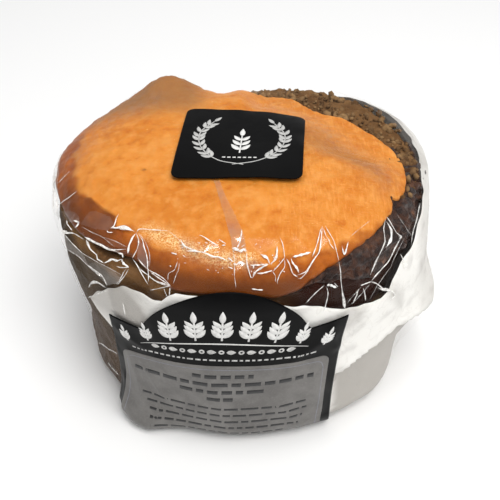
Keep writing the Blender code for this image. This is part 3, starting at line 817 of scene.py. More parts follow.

# Painted highlights along the film's folds, as thin near-white strands: highlight strength, half-width
# (or several along it), then the angle and distance down the sheet of each point
strands = (
    # left edge
    (0.8, 0.16, ((-100, 56), (-92, 54.5), (-84, 54), (-80, 55.3))),
    (0.9, 0.20, ((-80, 55.3), (-75.5, 55.8), (-71, 56.8), (-68.5, 57.5))),
    (0.5, 0.16, ((-68, 48.5), (-68, 52.8), (-70, 55.8))),
    (0.35, 0.12, ((-80.5, 49), (-79.5, 51.5), (-78.5, 53.5))),
    (0.4, 0.14, ((-98, 58), (-88, 57.5), (-78, 58.5), (-70, 61))),
    (0.9, 0.2, ((-62, 55.3), (-60, 55.5), (-57.5, 56))),
    (1.0, (0.3, 0.5, 0.35, 0.1), ((-58, 53.2), (-56.8, 52.8), (-56.5, 53.8), (-57, 54.8))),
    (0.9, (0.4, 0.3, 0.16, 0.14), ((-62.5, 59.5), (-60, 58.5), (-56.5, 56.3), (-50.5, 54.8))),
    (0.9, 0.45, ((-61.5, 58.7), (-59.5, 58))),
    (0.55, (0.3, 0.15, 0.1, 0.08), ((-62.5, 59.5), (-55.5, 59), (-49.5, 58.5), (-43, 57.5), (-33, 57.3))),
    (0.35, 0.2, ((-65, 63.3), (-60, 63.5), (-52.5, 62), (-46, 61.5), (-41.5, 61.5), (-38.5, 63.3))),
    (0.6, 0.2, ((-46, 60.3), (-43, 60.8), (-40.5, 61.8), (-38.5, 63.3))),
    (0.3, 0.12, ((-54.5, 52.8), (-49.5, 51.8), (-45.5, 51), (-38.5, 51.3))),
    (0.3, 0.12, ((-45.5, 51), (-40.5, 50), (-35, 49.8))),
    # the rounded pocket left of the front
    (1.0, (0.6, 0.5, 0.35, 0.2, 0.14), ((-50.5, 54), (-46, 53.3), (-43.5, 52.8), (-40, 52.5), (-35, 50.3))),
    (1.0, (0.55, 0.35, 0.25, 0.22, 0.22), ((-50, 54.5), (-46.5, 55.5), (-44, 56), (-42.5, 56.5), (-40, 56.5))),
    (1.0, (0.25, 0.3, 0.4, 0.25, 0.25), ((-40, 56.5), (-39, 55.5), (-38, 54.5), (-36.5, 54.3), (-35, 53.3))),
    (0.7, 0.12, ((-40, 52.5), (-36.5, 52))),
    (1.0, 0.3, ((-36.5, 52.3), (-35.5, 52), (-35, 52.8))),
    (1.0, (0.3, 0.4, 0.2), ((-35, 53.3), (-33.5, 54), (-32, 54.5))),
    (0.8, 0.15, ((-35.5, 55.5), (-34, 55.3), (-32, 54.5))),
    (0.7, 0.15, ((-31.5, 54.8), (-32, 56.3), (-33, 58.5), (-34.5, 61.3))),
    (0.6, 0.13, ((-32.5, 55), (-33, 56.5), (-33.5, 58.8), (-35.5, 61.8))),
    # the loop above it
    (1.0, (0.1, 0.15, 0.2, 0.35), ((-46, 43.5), (-45, 44.8), (-44, 46.5), (-44, 47.8))),
    (1.0, (0.15, 0.6, 0.8, 0.6, 0.1), ((-44, 47.8), (-43, 46.8), (-41, 46), (-38.5, 45.5), (-36, 45.3))),
    (0.9, 0.18, ((-44.5, 48.8), (-44, 49), (-43, 48.3))),
    (0.9, (0.2, 0.16, 0.16, 0.12), ((-35.5, 45.3), (-35, 44), (-31, 43), (-25, 42))),
    (0.3, 0.1, ((-25, 42), (-20, 43.8), (-19, 44.5))),
    (1.0, (0.12, 0.3, 0.45, 0.3), ((-35.5, 45.3), (-35, 47), (-34.5, 49.3), (-33.5, 51.3))),
    (0.95, 0.17, ((-35, 45.5), (-33, 47), (-32, 49), (-32, 52))),
    (1.0, 0.2, ((-34.5, 45.3), (-32, 46.5), (-30, 48), (-27.5, 50.3), (-26.5, 52.3), (-25.5, 54.8), (-25, 56.5))),
    (0.35, 0.12, ((-34, 45.3), (-31, 46.5), (-28.5, 48.3), (-26.5, 50.3), (-25.5, 52.5))),
    (0.9, 0.17, ((-32, 52), (-30, 53), (-27.5, 55), (-25, 57.3))),
    (0.85, 0.16, ((-30.5, 51.3), (-28.5, 52.3), (-26, 53.3), (-23.5, 53.8), (-21, 54.5), (-18.5, 56))),
    (0.8, 0.16, ((-29, 53.3), (-28, 54), (-25.5, 54.8), (-23, 55.5), (-20, 55.8), (-18.5, 56))),
    # the leaf and the knot beside it
    (0.55, 0.13, ((-18, 49.5), (-18.5, 51.8), (-19.5, 53), (-19.5, 54.8))),
    (0.55, 0.13, ((-17.5, 49.8), (-17, 51.5), (-17.5, 52.8), (-18, 55.3))),
    (0.8, 0.17, ((-25, 53.8), (-22.5, 54.5), (-18.5, 56))),
    (0.7, 0.15, ((-24.5, 55), (-21.5, 55.8), (-18.5, 56))),
    (0.7, 0.15, ((-24, 58.5), (-20, 56.5), (-18.5, 56))),
    (0.5, 0.15, ((-20, 56.8), (-19, 58.8))),
    (0.6, 0.2, ((-18.5, 56.3), (-18.5, 58.5))),
    # along the shoulder
    (1.0, (0.15, 0.3, 0.25, 0.3, 0.2), ((-19.5, 43.8), (-17.5, 45.3), (-16, 45.5), (-14.5, 45.8), (-13, 46))),
    (1.0, (0.15, 0.3, 0.2, 0.35, 0.2), ((-17, 46.5), (-14.5, 46.3), (-11, 46.5), (-8, 47.3), (-6, 47.3), (-3.5, 48.3))),
    (0.9, 0.2, ((-3.5, 47.3), (-2, 48.5))),
    (0.9, (0.1, 0.25, 0.15), ((-14, 41.8), (-12.5, 42), (-9.5, 43.3), (-6.5, 44.5))),
    (0.8, 0.18, ((-7, 42.5), (-4.5, 43.8))),
    # the tuck at the front
    (0.9, 0.2, ((0.5, 39.5), (0.5, 40.3), (0, 43), (-1, 44.8))),
    (1.0, 0.5, ((-2.5, 45), (-1, 45), (0, 45.8), (1, 45.3), (2, 45.8))),
    (1.0, 0.45, ((-2, 48.8), (-1, 49), (0, 48.5), (1.5, 49))),
    (0.9, 0.2, ((2, 46), (2, 48.8), (2.5, 50.8), (3, 52.3), (3.5, 52.3))),
    (1.0, 0.3, ((3.5, 52.3), (4, 51.3), (5.5, 50.3), (8, 49.3))),
    (0.5, 0.12, ((-2, 45.8), (-1.5, 48.5), (-1.5, 51.5), (-1, 54.8))),
    (1.0, (0.2, 0.5, 0.35, 0.1), ((6, 46.5), (7, 47), (8, 47.8), (8.5, 49.3))),
    (1.0, (0.1, 0.45, 0.4, 0.1), ((11.5, 45), (11, 47), (10, 48.5), (8.5, 49.5))),
    (0.9, 0.25, ((3.5, 49.3), (5.5, 49.3), (8, 49.3))),
    (0.9, 0.22, ((4.5, 51.3), (6, 51.5), (9, 51))),
    (0.9, 0.2, ((4.5, 50.8), (6, 50), (8, 49.5))),
    (0.9, 0.22, ((3, 55), (4.5, 55.3), (6, 55.5))),
    (0.7, 0.15, ((13, 42.8), (13.5, 45), (13, 48.5))),
    (0.8, 0.15, ((13, 48.3), (11, 49.8), (9, 51.3))),
    (0.6, 0.12, ((9, 51.3), (9.5, 52.3), (9.5, 53.8))),
    (0.8, 0.15, ((13, 48.5), (12.5, 50.5), (11, 52), (10, 53.8), (10, 54.5))),
    (0.85, 0.17, ((13.5, 48.5), (14, 50), (14.5, 52.3), (15.5, 53.5))),
    (1.0, (0.1, 0.25, 0.45, 0.2), ((15, 48.3), (15, 49.8), (16, 51.3), (16, 52.5))),
    (1.0, (0.3, 0.42, 0.3), ((15.5, 48.3), (17.5, 48.3), (21, 48.3))),
    # the big V on the front right
    (0.9, 0.17, ((27.5, 43), (26, 44.5), (23.5, 47), (21, 49.5))),
    (1.0, 0.2, ((28.5, 42.5), (27, 44.3), (24, 48.3), (21.5, 50), (18.5, 52.3), (17, 52.8), (15.5, 53))),
    (0.8, 0.17, ((21.5, 50), (18.5, 52.5), (16.5, 53.8), (15.5, 53.8))),
    (0.8, 0.14, ((28.5, 43), (28, 45.3), (28, 47.5), (28.5, 49.3))),
    (0.8, 0.14, ((29.5, 42.5), (29.5, 43.5), (29.5, 47), (29, 49.3), (28.5, 52.3))),
    (0.8, (0.15, 0.15, 0.2, 0.45, 0.5), ((28.5, 52.3), (28, 55), (27.5, 59), (28, 63.5), (28.5, 66.3))),
    (1.0, 0.25, ((31.5, 49), (31, 51.3), (33.5, 48.8))),
    (0.25, 0.1, ((34.5, 48), (41, 47), (45.5, 46.8))),
    # the long triangle over the dark side
    (0.75, (0.15, 0.15, 0.2, 0.3, 0.3), ((51, 48.5), (48, 50.5), (45, 53.3), (40.5, 56.3), (36.5, 59))),
    (0.85, 0.15, ((51, 48.5), (51, 50), (51, 52.8), (51.5, 55))),
    (1.0, 0.6, ((51, 54.8), (51.5, 55), (52, 55.2))),
    (0.9, (0.3, 0.25, 0.2, 0.2, 0.25), ((51.5, 55), (48, 56.5), (44, 58.3), (40, 59), (36.5, 60.5))),
    (1.0, (0.1, 0.5, 0.6, 0.1), ((50.5, 49.5), (49.5, 52), (48, 53.8), (45, 55))),
    (0.35, 0.1, ((54.5, 56), (48, 58), (44, 60), (40, 63.5), (36.5, 67.3))),
    (0.25, 0.1, ((55.5, 49.8), (55, 53.8), (56, 57.3))),
    (0.6, 0.22, ((69, 54.3), (62.5, 55.8), (57.5, 57.5), (55.5, 59.5))),
    # the cluster where it meets the paper
    (0.9, 0.2, ((36.5, 60.8), (33.5, 61))),
    (0.9, 0.2, ((33, 61.8), (32, 63), (31, 66))),
    (0.9, 0.2, ((34, 61.8), (35, 64), (35.5, 66.8))),
    (0.9, 0.2, ((36.5, 60.8), (39.5, 63.3), (41.5, 65.8))),
    (1.0, (0.3, 0.5, 0.4, 0.3, 0.2), ((39.5, 64.5), (42.5, 66.5), (45.5, 68.8), (47, 71.3), (45, 71.5))),
    (0.5, 0.1, ((29.5, 65), (33.5, 61.3))),
    (0.5, 0.1, ((30.5, 65.8), (36.5, 62))),
    (0.8, 0.2, ((49.5, 59), (50.5, 61.5), (51.5, 64.5), (53.5, 64))),
    (1.0, 0.4, ((23, 57), (24, 57.3), (25.5, 58.3))),
    (0.8, 0.14, ((22.5, 57), (19.5, 58.8), (17, 61.3))),
    (0.85, 0.17, ((23, 57.5), (23.5, 59.8), (23, 62.5), (22, 64.5))),
    (0.6, 0.12, ((25.5, 57.3), (26.5, 58.8))),
    # low on the left
    (0.5, 0.35, ((-59, 101.8), (-48.5, 95.5), (-42, 93))),
    (0.45, 0.35, ((-52.5, 105), (-48.5, 104.3), (-43.5, 102.8))),
    (0.8, 0.2, ((-52, 76.8), (-46, 71.5), (-38.5, 65.3))),
    (0.8, (0.1, 0.35, 0.1), ((-33.5, 66.8), (-33, 68.8), (-33, 71.3))),
    (0.35, 0.14, ((-60, 70), (-56.5, 79), (-55, 88))),
    (0.75, (0.1, 0.45, 0.3, 0.1), ((-35.5, 97), (-34.5, 101), (-31.5, 105.8))),
    (0.7, (0.15, 0.4, 0.5, 0.3), ((-49, 70.8), (-46.5, 67.5), (-43.5, 65.3), (-39.5, 65))),
)

# The edges of milky places, as angles and distances down the sheet
tuckLeft = ((-20, 21.3), (-12.5, 27), (-8.5, 31.8), (-6, 35.8), (-4.5, 39), (-3, 42), (-2.5, 44.8))
tuckRight = ((2, 46), (1.5, 42), (0.5, 39.5), (-1.5, 35.8), (-4.5, 31.5), (-9, 26.8), (-16, 21))
bandOver = ((-62.5, 59.5), (-55.5, 59), (-49.5, 58.5), (-43, 57.5), (-37, 57.3), (-33, 57.3))
bandUnder = ((-34.5, 61.3), (-38.5, 63.3), (-46, 61.5), (-52.5, 62), (-60, 63.5), (-65, 63.3))
# how milky, then the outline
patches = (
    (0.13, ((-55, 52.5), (-56, 48.5), (-54.5, 47), (-47.5, 45.5), (-43.5, 46.8), (-44.5, 48.8), (-50, 50.8))),
    (0.14, ((-65.5, 54.8), (-63.5, 53), (-60.5, 51.8), (-57, 51.3), (-56.5, 52.5), (-61, 55.3))),
    (0.10, ((-45.5, 51), (-38.5, 51.3), (-35, 49.8), (-40.5, 50))),
    (0.16, bandOver + bandUnder),
    (0.25, tuckLeft + tuckRight),
    (0.30, ((-100, 55.5), (-89, 53), (-78, 53.8), (-70, 56), (-66, 58.5), (-78, 60), (-100, 60))),
    (0.18, ((-34, 46), (-30, 48.3), (-27.5, 50.5), (-26, 53.2), (-28.5, 52.3), (-30.5, 51.3), (-32, 49))),
    (0.02, ((27.5, 43.5), (28.3, 49), (24.5, 49), (21, 50.5), (24, 48))),
    (0.05, ((51, 49), (51.3, 54.8), (45, 57.5), (37, 60), (45, 53.3), (48, 50.5))),
    (0.008, ((-62, 92), (-43, 90), (-40, 108), (-56, 112))),
    (0.14, ((78, 52.5), (95, 50.5), (110, 49), (125, 48.5), (137, 50), (146, 53.5), (128, 58), (95, 58), (76, 56))),
)

# Soft sheens: strength, spread, then the line each follows
veils = (
    (0.10, 5.0, ((126, 27), (104, 27), (88, 31), (75, 36), (66, 41.5))),
    (0.25, 1.6, ((-18, 45), (-13, 46), (-6, 47), (-2, 48), (3, 49))),
    (0.04, 2.0, ((30, 53.5), (42, 52.5), (56, 51), (70, 50.5))),
    (0.10, 5.0, ((-128, 36), (-104, 42), (-86, 46))),
)
sparks = {"count": 60, "seed": 78, "from": -20.0, "to": 12.0, "near": 43.5, "far": 51.5}
backFolds = {"count": 34, "seed": 79, "from": 82.0, "to": 262.0}


def flatSpot(angle, distance):
    # the sheet laid flat as a disc, with the crown at its middle
    turn = np.radians(angle)
    return np.stack([distance * np.sin(turn), -distance * np.cos(turn)], -1)


def sheetSpot(flat):
    return np.degrees(np.arctan2(flat[..., 0], -flat[..., 1])), np.hypot(flat[..., 0], flat[..., 1])


def flatPath(stops):
    return np.array([flatSpot(*stop) for stop in stops])


def hiddenFolds():
    # painted highlights on loose folds down the back and painted glints along the shoulder, as more strands
    rng = np.random.default_rng(backFolds["seed"])
    found = []
    for step in range(backFolds["count"]):
        angle = backFolds["from"] + (backFolds["to"] - backFolds["from"]) * (step + rng.uniform(0, 0.8)) / backFolds["count"]
        start = rng.uniform(57, 76)
        end = rng.uniform(90, 114)
        lean = rng.uniform(-7, 7)
        middle = (start + end) / 2 + rng.uniform(-5, 5)
        stops = ((angle, start), (angle + lean * 0.4 + rng.uniform(-2, 2), middle), (angle + lean, end))
        found.append((rng.uniform(0.15, 0.5), rng.uniform(0.1, 0.2), stops))
    rng = np.random.default_rng(sparks["seed"])
    for _ in range(sparks["count"]):
        angle = rng.uniform(sparks["from"], sparks["to"])
        distance = rng.uniform(sparks["near"], sparks["far"])
        run, rise = rng.normal(0, 0.6), rng.normal(0, 0.35)
        found.append((rng.uniform(0.5, 1.0), rng.uniform(0.08, 0.22), ((angle, distance), (angle + run, distance + rise))))
    return found


def layNet():
    # the film's facets: each fold and each milky outline is an edge, and loose points fill the rest
    rng = np.random.default_rng(film["seed"])
    spots, edges = [], []
    for path, closed in [(strand[2], 0) for strand in strands] + [(patch[1], 1) for patch in patches]:
        start = len(spots)
        spots += list(flatPath(path))
        edges += [(start + index, start + index + 1) for index in range(len(path) - 1)]
        if closed:
            edges.append((start + len(path) - 1, start))
    held = np.array(spots)
    for distance, count, uneven in film["rings"]:
        for step in range(count):
            angle = 360.0 * (step + rng.uniform(-0.3, 0.3) * (uneven > 0)) / count - 180.0
            spot = flatSpot(angle, distance + rng.uniform(-1, 1) * uneven)
            if np.min(np.linalg.norm(held - spot, axis=1)) > film["clear"]:
                spots.append(spot)
    flat, _, triangles = delaunay_2d_cdt([Vector(spot) for spot in spots], edges, [], 0, 0.05)[:3]
    return np.array([tuple(spot) for spot in flat]), np.array(triangles)


def labelCover(angle, distance):
    # 1 under a label, where the film lies smooth, and 0 away from it
    point = sheetPoint(angle, distance)
    across, along = topLabelPlace(point[..., 0], point[..., 1])
    reach = topLabel["side"] / 2
    onTop = ease((reach + 3 - np.abs(across)) / 3) * ease((reach + 3 - np.abs(along)) / 3) * (distance < 60)
    height = np.interp(distance, sheetDistance, sheetHeight)
    across, top = frontLabelPlace(angle, height)
    onFront = ease((frontLabel["halfWidth"] + 3.5 - np.abs(across)) / 3) * ease((top + 3 - height) / 3)
    return np.maximum(onTop, onFront * (np.abs(wrapped(angle)) < 70))


def settleFilm(angle, distance, chord):
    # how the film lies between the smooth sheet and the flat facets between its folds
    smooth = onSheet(angle, distance)
    normal = sheetNormal(angle, distance)
    off = np.sum((chord - smooth) * normal, -1)
    flatness = 0.06 + 0.94 * ease((distance - 38) / 9) * (1 - 0.35 * ease((distance - 62) / 8))
    behind = ease((np.abs(wrapped(angle)) - 74) / 24) * ease((62 - distance) / 6)
    flatness = flatness * (1 - (1 - film["tight"]) * behind)
    inward = film["inward"] - 0.85 * ease((distance - 60) / 6)
    off = np.clip(off * flatness, -inward, film["outward"])
    off = off * (1 - labelCover(angle, distance)) - 0.05
    return smooth + normal * off[..., None]


def insideOutline(spots, outline):
    # which flat spots lie inside a closed outline
    inside = np.zeros(len(spots), bool)
    for start, end in zip(outline, np.roll(outline, -1, axis=0)):
        crosses = (start[1] > spots[:, 1]) != (end[1] > spots[:, 1])
        rise = np.where(end[1] == start[1], 1e-9, end[1] - start[1])
        inside ^= crosses & (spots[:, 0] < start[0] + (spots[:, 1] - start[1]) * (end[0] - start[0]) / rise)
    return inside


def facetMilk(middle):
    # how milky each facet is: a trace anywhere, more inside the patches
    rng = np.random.default_rng(film["seed"] + 1)
    angle, distance = sheetSpot(middle)
    uneven = rng.uniform(0, 1, len(middle))
    milk = 0.002 + 0.012 * uneven ** 2 * ease((distance - 38) / 8) * (1 - 0.6 * ease((distance - 66) / 8))
    milk = milk + 0.007 * uneven ** 3 * ease((distance - 66) / 8)
    for amount, outline in patches:
        inside = insideOutline(middle, flatPath(outline))
        milk = np.where(inside, amount * (0.85 + 0.3 * uneven), milk)
    return milk


def veilAt(angle, distance):
    # the soft sheens that cross the film, as one strength
    spots = flatSpot(angle, distance)
    total = np.zeros(len(spots))
    for strength, spread, stops in veils:
        line = smoothPath(flatPath(stops), 1.5)
        near = np.min(np.linalg.norm(spots[:, None] - line[None], axis=2), axis=1)
        total = np.maximum(total, strength * np.exp(-(near / spread) ** 2))
    return total


def addValues(piece, name, domain, values):
    attribute = piece.data.attributes.new(name, "FLOAT", domain)
    attribute.data.foreach_set("value", np.asarray(values, np.float32).reshape(-1))


def buildFilm(net, triangles, corners):
    split = film["split"]
    lattice = [(i, j) for i in range(split + 1) for j in range(split + 1 - i)]
    index = {spot: number for number, spot in enumerate(lattice)}
    weights = np.array([(i / split, j / split, 1 - (i + j) / split) for i, j in lattice])
    small = []
    for i in range(split):
        for j in range(split - i):
            small.append((index[i, j], index[i + 1, j], index[i, j + 1]))
            if i + j < split - 1:
                small.append((index[i + 1, j], index[i + 1, j + 1], index[i, j + 1]))
    small = np.array(small)
    flat = np.einsum("wk,tkc->twc", weights, net[triangles])
    chord = np.einsum("wk,tkc->twc", weights, corners[triangles])
    angle, distance = sheetSpot(flat)
    points = settleFilm(angle, distance, chord)
    faces = (small[None] + (np.arange(len(triangles)) * len(lattice))[:, None, None]).reshape(-1, 3)
    piece = makePiece("film", points, faces.tolist(), filmFinish())
    addValues(piece, "milk", "FACE", np.repeat(facetMilk(net[triangles].mean(1)), len(small)))
    addValues(piece, "veil", "POINT", veilAt(angle.reshape(-1), distance.reshape(-1)))
    bm = bmesh.new()
    bm.from_mesh(piece.data)
    bmesh.ops.remove_doubles(bm, verts=bm.verts, dist=0.002 * mm)
    bm.normal_update()
    bm.to_mesh(piece.data)
    bm.free()
    piece.data.set_sharp_from_angle(angle=math.radians(14))
    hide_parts("film_bag")
    return piece


def filmFinish():
    finish = Finish("clear film")
    milk = finish.painted("milk")
    veil = finish.painted("veil")
    cloud = finish.noise(0.075, 3.0, 0.55, distortion=0.6)
    fine = finish.noise(0.5, 4.0, 0.6)
    grazing = finish.add("LayerWeight", {}, {"Blend": 0.5}, "Facing")
    milky = milk * (0.6 + finish.mask(cloud, 0.38, 0.68) * 0.8)
    sheen = veil * (0.25 + finish.mask(fine, 0.4, 0.62) * 0.9)
    amount = milky + sheen + 0.004 + grazing ** 6 * 0.16
    normal = finish.bump(fine, 0.1, 0.3)
    clear = finish.add("BsdfTransparent", {}, {"Color": (1.0, 1.0, 1.0)})
    gloss = finish.add("BsdfPrincipled", {}, {
        "Base Color": (1.0, 0.965, 0.92), "Metallic": 1.0, "Roughness": 0.12, "Normal": normal})
    return finish.done(finish.add("MixShader", {}, {0: amount, 1: clear, 2: gloss}))


def strandFinish():
    # painted highlights: a near-white surface mixed in along the folds, in place of the light they catch
    finish = Finish("bright film folds")
    broken = finish.noise(0.8, 3.0, 0.6)
    clear = finish.add("BsdfTransparent", {}, {"Color": (1.0, 1.0, 1.0)})
    bright = finish.add("BsdfPrincipled", {}, {
        "Base Color": (1.0, 0.985, 0.955), "Roughness": 0.25, "Specular IOR Level": 0.8})
    amount = finish.painted("glow") * (0.35 + finish.mask(broken, 0.36, 0.6) * 0.6)
    return finish.done(finish.add("MixShader", {}, {0: amount, 1: clear, 2: bright}))


def filmHeight(net, triangles, corners, angle, distance):
    # the film's own surface at any spot, found through the facet that holds it
    flat = flatSpot(angle, distance)
    a, b, c = (net[triangles[:, corner]] for corner in range(3))
    area = (b[:, 0] - a[:, 0]) * (c[:, 1] - a[:, 1]) - (c[:, 0] - a[:, 0]) * (b[:, 1] - a[:, 1])
    chord = np.zeros((len(flat), 3))
    for number, spot in enumerate(flat):
        second = ((spot[0] - a[:, 0]) * (c[:, 1] - a[:, 1]) - (c[:, 0] - a[:, 0]) * (spot[1] - a[:, 1])) / area
        third = ((b[:, 0] - a[:, 0]) * (spot[1] - a[:, 1]) - (spot[0] - a[:, 0]) * (b[:, 1] - a[:, 1])) / area
        inside = np.argmax(np.minimum(np.minimum(second, third), 1 - second - third))
        share = np.array([1 - second[inside] - third[inside], second[inside], third[inside]])
        chord[number] = share @ corners[triangles[inside]]
    return settleFilm(angle, distance, chord)


def strandRings(spots, normal, reach, rise):
    # a flat bead of elliptical rings that lies along the film
    ahead = np.gradient(spots, axis=0)
    side = np.cross(ahead, normal)
    side = side / np.maximum(np.linalg.norm(side, axis=1, keepdims=True), 1e-9)
    turn = np.linspace(0, 2 * math.pi, 6, endpoint=False)[:, None, None]
    return spots + np.cos(turn) * side * reach[:, None] + np.sin(turn) * normal * rise[:, None]


def buildStrands(net, triangles, corners):
    points, faces, highlights, start = [], [], [], 0
    rng = np.random.default_rng(77)
    for glow, widths, stops in list(strands) + hiddenFolds():
        line = smoothPath(flatPath(stops), 0.3)
        angle, distance = sheetSpot(line)
        along = np.linspace(0, 1, len(line))
        widths = np.atleast_1d(widths)
        reach = np.interp(along, np.linspace(0, 1, len(widths)), widths)
        uneven = 1 + 0.3 * np.sin(along * rng.uniform(8, 22) + rng.uniform(0, 6))
        taper = 0.1 + 0.9 * ease(np.minimum(along, 1 - along) * 7)
        reach = reach * uneven * taper * film["slender"]
        normal = sheetNormal(angle, distance)
        spots = filmHeight(net, triangles, corners, angle, distance) + normal * 0.04
        rings = strandRings(spots, normal, reach, np.minimum(reach, 0.13))
        sides, rows = rings.shape[:2]
        points.append(rings.reshape(-1, 3))
        faces += gridFaces(sides, rows, closed=True, start=start)
        highlights.append(np.full(sides * rows, glow))
        start += sides * rows
    piece = makePiece("filmFoldHighlights", np.concatenate(points), faces, strandFinish())
    addValues(piece, "glow", "POINT", np.concatenate(highlights))
    return piece


def buildFilmBase():
    # the film's gathered underside
    angle = np.linspace(-180.0, 180.0, 144, endpoint=False)[:, None]
    share = np.linspace(0.02, 1.0, 12)[None, :]
    radius = (pack["radius"] - pack["waistDrop"] - pack["edgeReach"]) * share
    height = 0.06 + 0.16 * (1 + np.sin(np.radians(angle) * 24 + 3 * share)) * share * (1 - share) * 2
    points = around(angle, radius, height)
    piece = makePiece("filmBase", points, gridFaces(144, 12, closed=True), filmFinish())
    return piece


# labels
topLabel = {
    "side": 34.5,
    "corner": 2.4,
    "centre": (0.0, -4.0),
    "turn": -4.5,
    "curl": 0.7,
    "wave": 0.25,
    "gap": 0.12,              # from the film
    "thickness": 0.3,
    "cells": 72,
}
frontLabel = {
    "angle": -4.8,
    "lean": 0.055,
    "halfWidth": 31.6,
    "ear": 1.0,
    "tilt": 0.085,
    "bottom": 1.0,
    "earHeight": 44.5,
    "archHeight": 59.4,
    "archRadius": 23.5,
    "blend": 2.6,
    "gap": 0.12,
    "thickness": 0.3,
    "columns": 150,
    "rows": 110,
    # folds pressed into it: start and end as (across, height), width, rise
    "folds": (
        ((-27.0, 34.0), (-21.0, 6.0), 2.2, 0.55), ((-22.5, 30.0), (-14.0, 14.0), 1.6, 0.4),
        ((-29.5, 20.0), (-28.0, 2.0), 1.2, 0.6), ((-17.0, 12.0), (-19.5, 1.0), 1.4, 0.45),
        ((27.0, 44.0), (31.0, 33.0), 1.6, 0.5), ((17.0, 35.0), (30.0, 40.0), 2.0, 0.35),
        ((24.0, 30.0), (29.0, 8.0), 2.2, 0.5), ((14.0, 20.0), (24.0, 3.0), 2.4, 0.4),
        ((-31.0, 41.0), (-20.0, 36.5), 2.0, 0.35), ((-4.0, 34.0), (3.0, 4.0), 3.0, 0.25),
    ),
}


def topLabelPlace(x, y):
    # a spot on the pie in the top label's own directions
    turn = math.radians(topLabel["turn"])
    x, y = x - topLabel["centre"][0], y - topLabel["centre"][1]
    return x * math.cos(turn) + y * math.sin(turn), -x * math.sin(turn) + y * math.cos(turn)


def topLabelPoint(across, along, out=0.0):
    turn = math.radians(topLabel["turn"])
    x = topLabel["centre"][0] + across * math.cos(turn) - along * math.sin(turn)
    y = topLabel["centre"][1] + across * math.sin(turn) + along * math.cos(turn)
    half = topLabel["side"] / 2
    curl = topLabel["curl"] * np.clip(across / half, 0, 1) ** 3
    wave = topLabel["wave"] * (1 + np.sin(across / half * 4.0)) * np.clip(-along / half, 0, 1)
    dip = 0.05 * np.sin(across * 0.7 + along * 0.2) * np.clip(np.abs(along) / half, 0, 1)
    return topPoint(x, y, topLabel["gap"] + 0.06 + curl + wave + dip + out)


def archHeight(across):
    ear, radius = frontLabel["earHeight"], frontLabel["archRadius"]
    reach = np.minimum(np.abs(across), radius)
    arch = frontLabel["archHeight"] - radius + np.sqrt(radius ** 2 - reach ** 2)
    extra = np.maximum(0.0, frontLabel["blend"] - np.abs(arch - ear)) ** 2 / (4 * frontLabel["blend"])
    return np.maximum(arch, ear) + extra


def frontLabelCentre(height):
    return frontLabel["angle"] - frontLabel["lean"] * (frontLabel["earHeight"] - height)


def frontLabelPlace(angle, height):
    # a spot on the wall as its distance across the front label, and the label's top there
    centre = frontLabelCentre(height)
    across = np.radians(wrapped(angle - centre)) * wallRadius(centre, height)
    return across, archHeight(across) + frontLabel["tilt"] * across


def labelFolds(across, height):
    rise = 0.0
    for start, end, width, amount in frontLabel["folds"]:
        start, end = np.array(start), np.array(end)
        run = end - start
        along = ((across - start[0]) * run[0] + (height - start[1]) * run[1]) / (run @ run)
        off = ((across - start[0]) * run[1] - (height - start[1]) * run[0]) / np.linalg.norm(run)
        fade = ease((along + 0.1) / 0.3) * ease((1.1 - along) / 0.3)
        rise = rise + amount * np.exp(-np.abs(off / width) ** 1.4) * fade
    return rise


def frontLabelSpot(across, share, out=0.0):
    # a point of the front label, by its distance across and its share of the way up
    top = archHeight(across)
    height = frontLabel["bottom"] + (top - frontLabel["bottom"]) * share
    return frontLabelPoint(across, height, out, share)


def frontLabelPoint(across, height, out=0.0, share=None):
    bottom = frontLabel["bottom"]
    if share is None:
        share = (height - bottom) / (archHeight(across) - bottom)
    side = across / frontLabel["halfWidth"]
    ear = frontLabel["ear"] * side * np.clip(np.abs(side) * 4 - 3, 0, 1) * np.clip(share * 6 - 5, 0, 1)
    centre = frontLabelCentre(height)
    level = height + frontLabel["tilt"] * across * share
    angle = centre + np.degrees((across + ear) / wallRadius(centre, level))
    lift = frontLabel["gap"] + labelFolds(across, height) + 0.1 * (1 + np.sin(across * 0.23 + height * 0.11))
    return wallPoint(angle, level, lift + out)


def blackLabelFinish():
    finish = Finish("black label")
    smears = finish.noise(0.09, 4.0, 0.6, stretch=(1.0, 1.0, 0.6), distortion=1.2)
    fine = finish.noise(1.5, 3.0)
    colour = finish.tint(finish.mask(smears, 0.5, 0.8) * 0.5, (0.0016, 0.0016, 0.0018), (0.007, 0.007, 0.0075))
    rough = 0.36 + finish.mask(smears, 0.4, 0.75) * 0.2
    shader = finish.add("BsdfPrincipled", {}, {
        "Base Color": colour, "Roughness": rough, "Normal": finish.bump(fine, 0.06, 0.1), "Specular IOR Level": 0.09})
    return finish.done(shader)


def inkFinish(name, colour, rubbed):
    finish = Finish(name)
    wear = finish.mask(finish.noise(0.9, 4.0, 0.7), 0.3, 0.75)
    shade = finish.tint(wear, colour, rubbed)
    shader = finish.add("BsdfPrincipled", {}, {"Base Color": shade, "Roughness": 0.42 + wear * 0.12})
    return finish.done(shader)


def panelFinish():
    finish = Finish("grey label panel")
    cloud = finish.noise(0.16, 4.0, 0.6)
    speckle = finish.noise(1.7, 3.0, 0.7)
    colour = finish.tint(finish.mask(cloud, 0.3, 0.72), (0.125, 0.119, 0.113), (0.185, 0.178, 0.170))
    colour = finish.tint(finish.mask(speckle, 0.5, 0.72) * 0.3, colour, (0.25, 0.243, 0.235))
    rough = 0.38 + finish.mask(cloud, 0.4, 0.7) * 0.12
    shader = finish.add("BsdfPrincipled", {}, {
        "Base Color": colour, "Roughness": rough, "Normal": finish.bump(speckle, 0.08, 0.15),
        "Specular IOR Level": 0.25})
    return finish.done(shader)


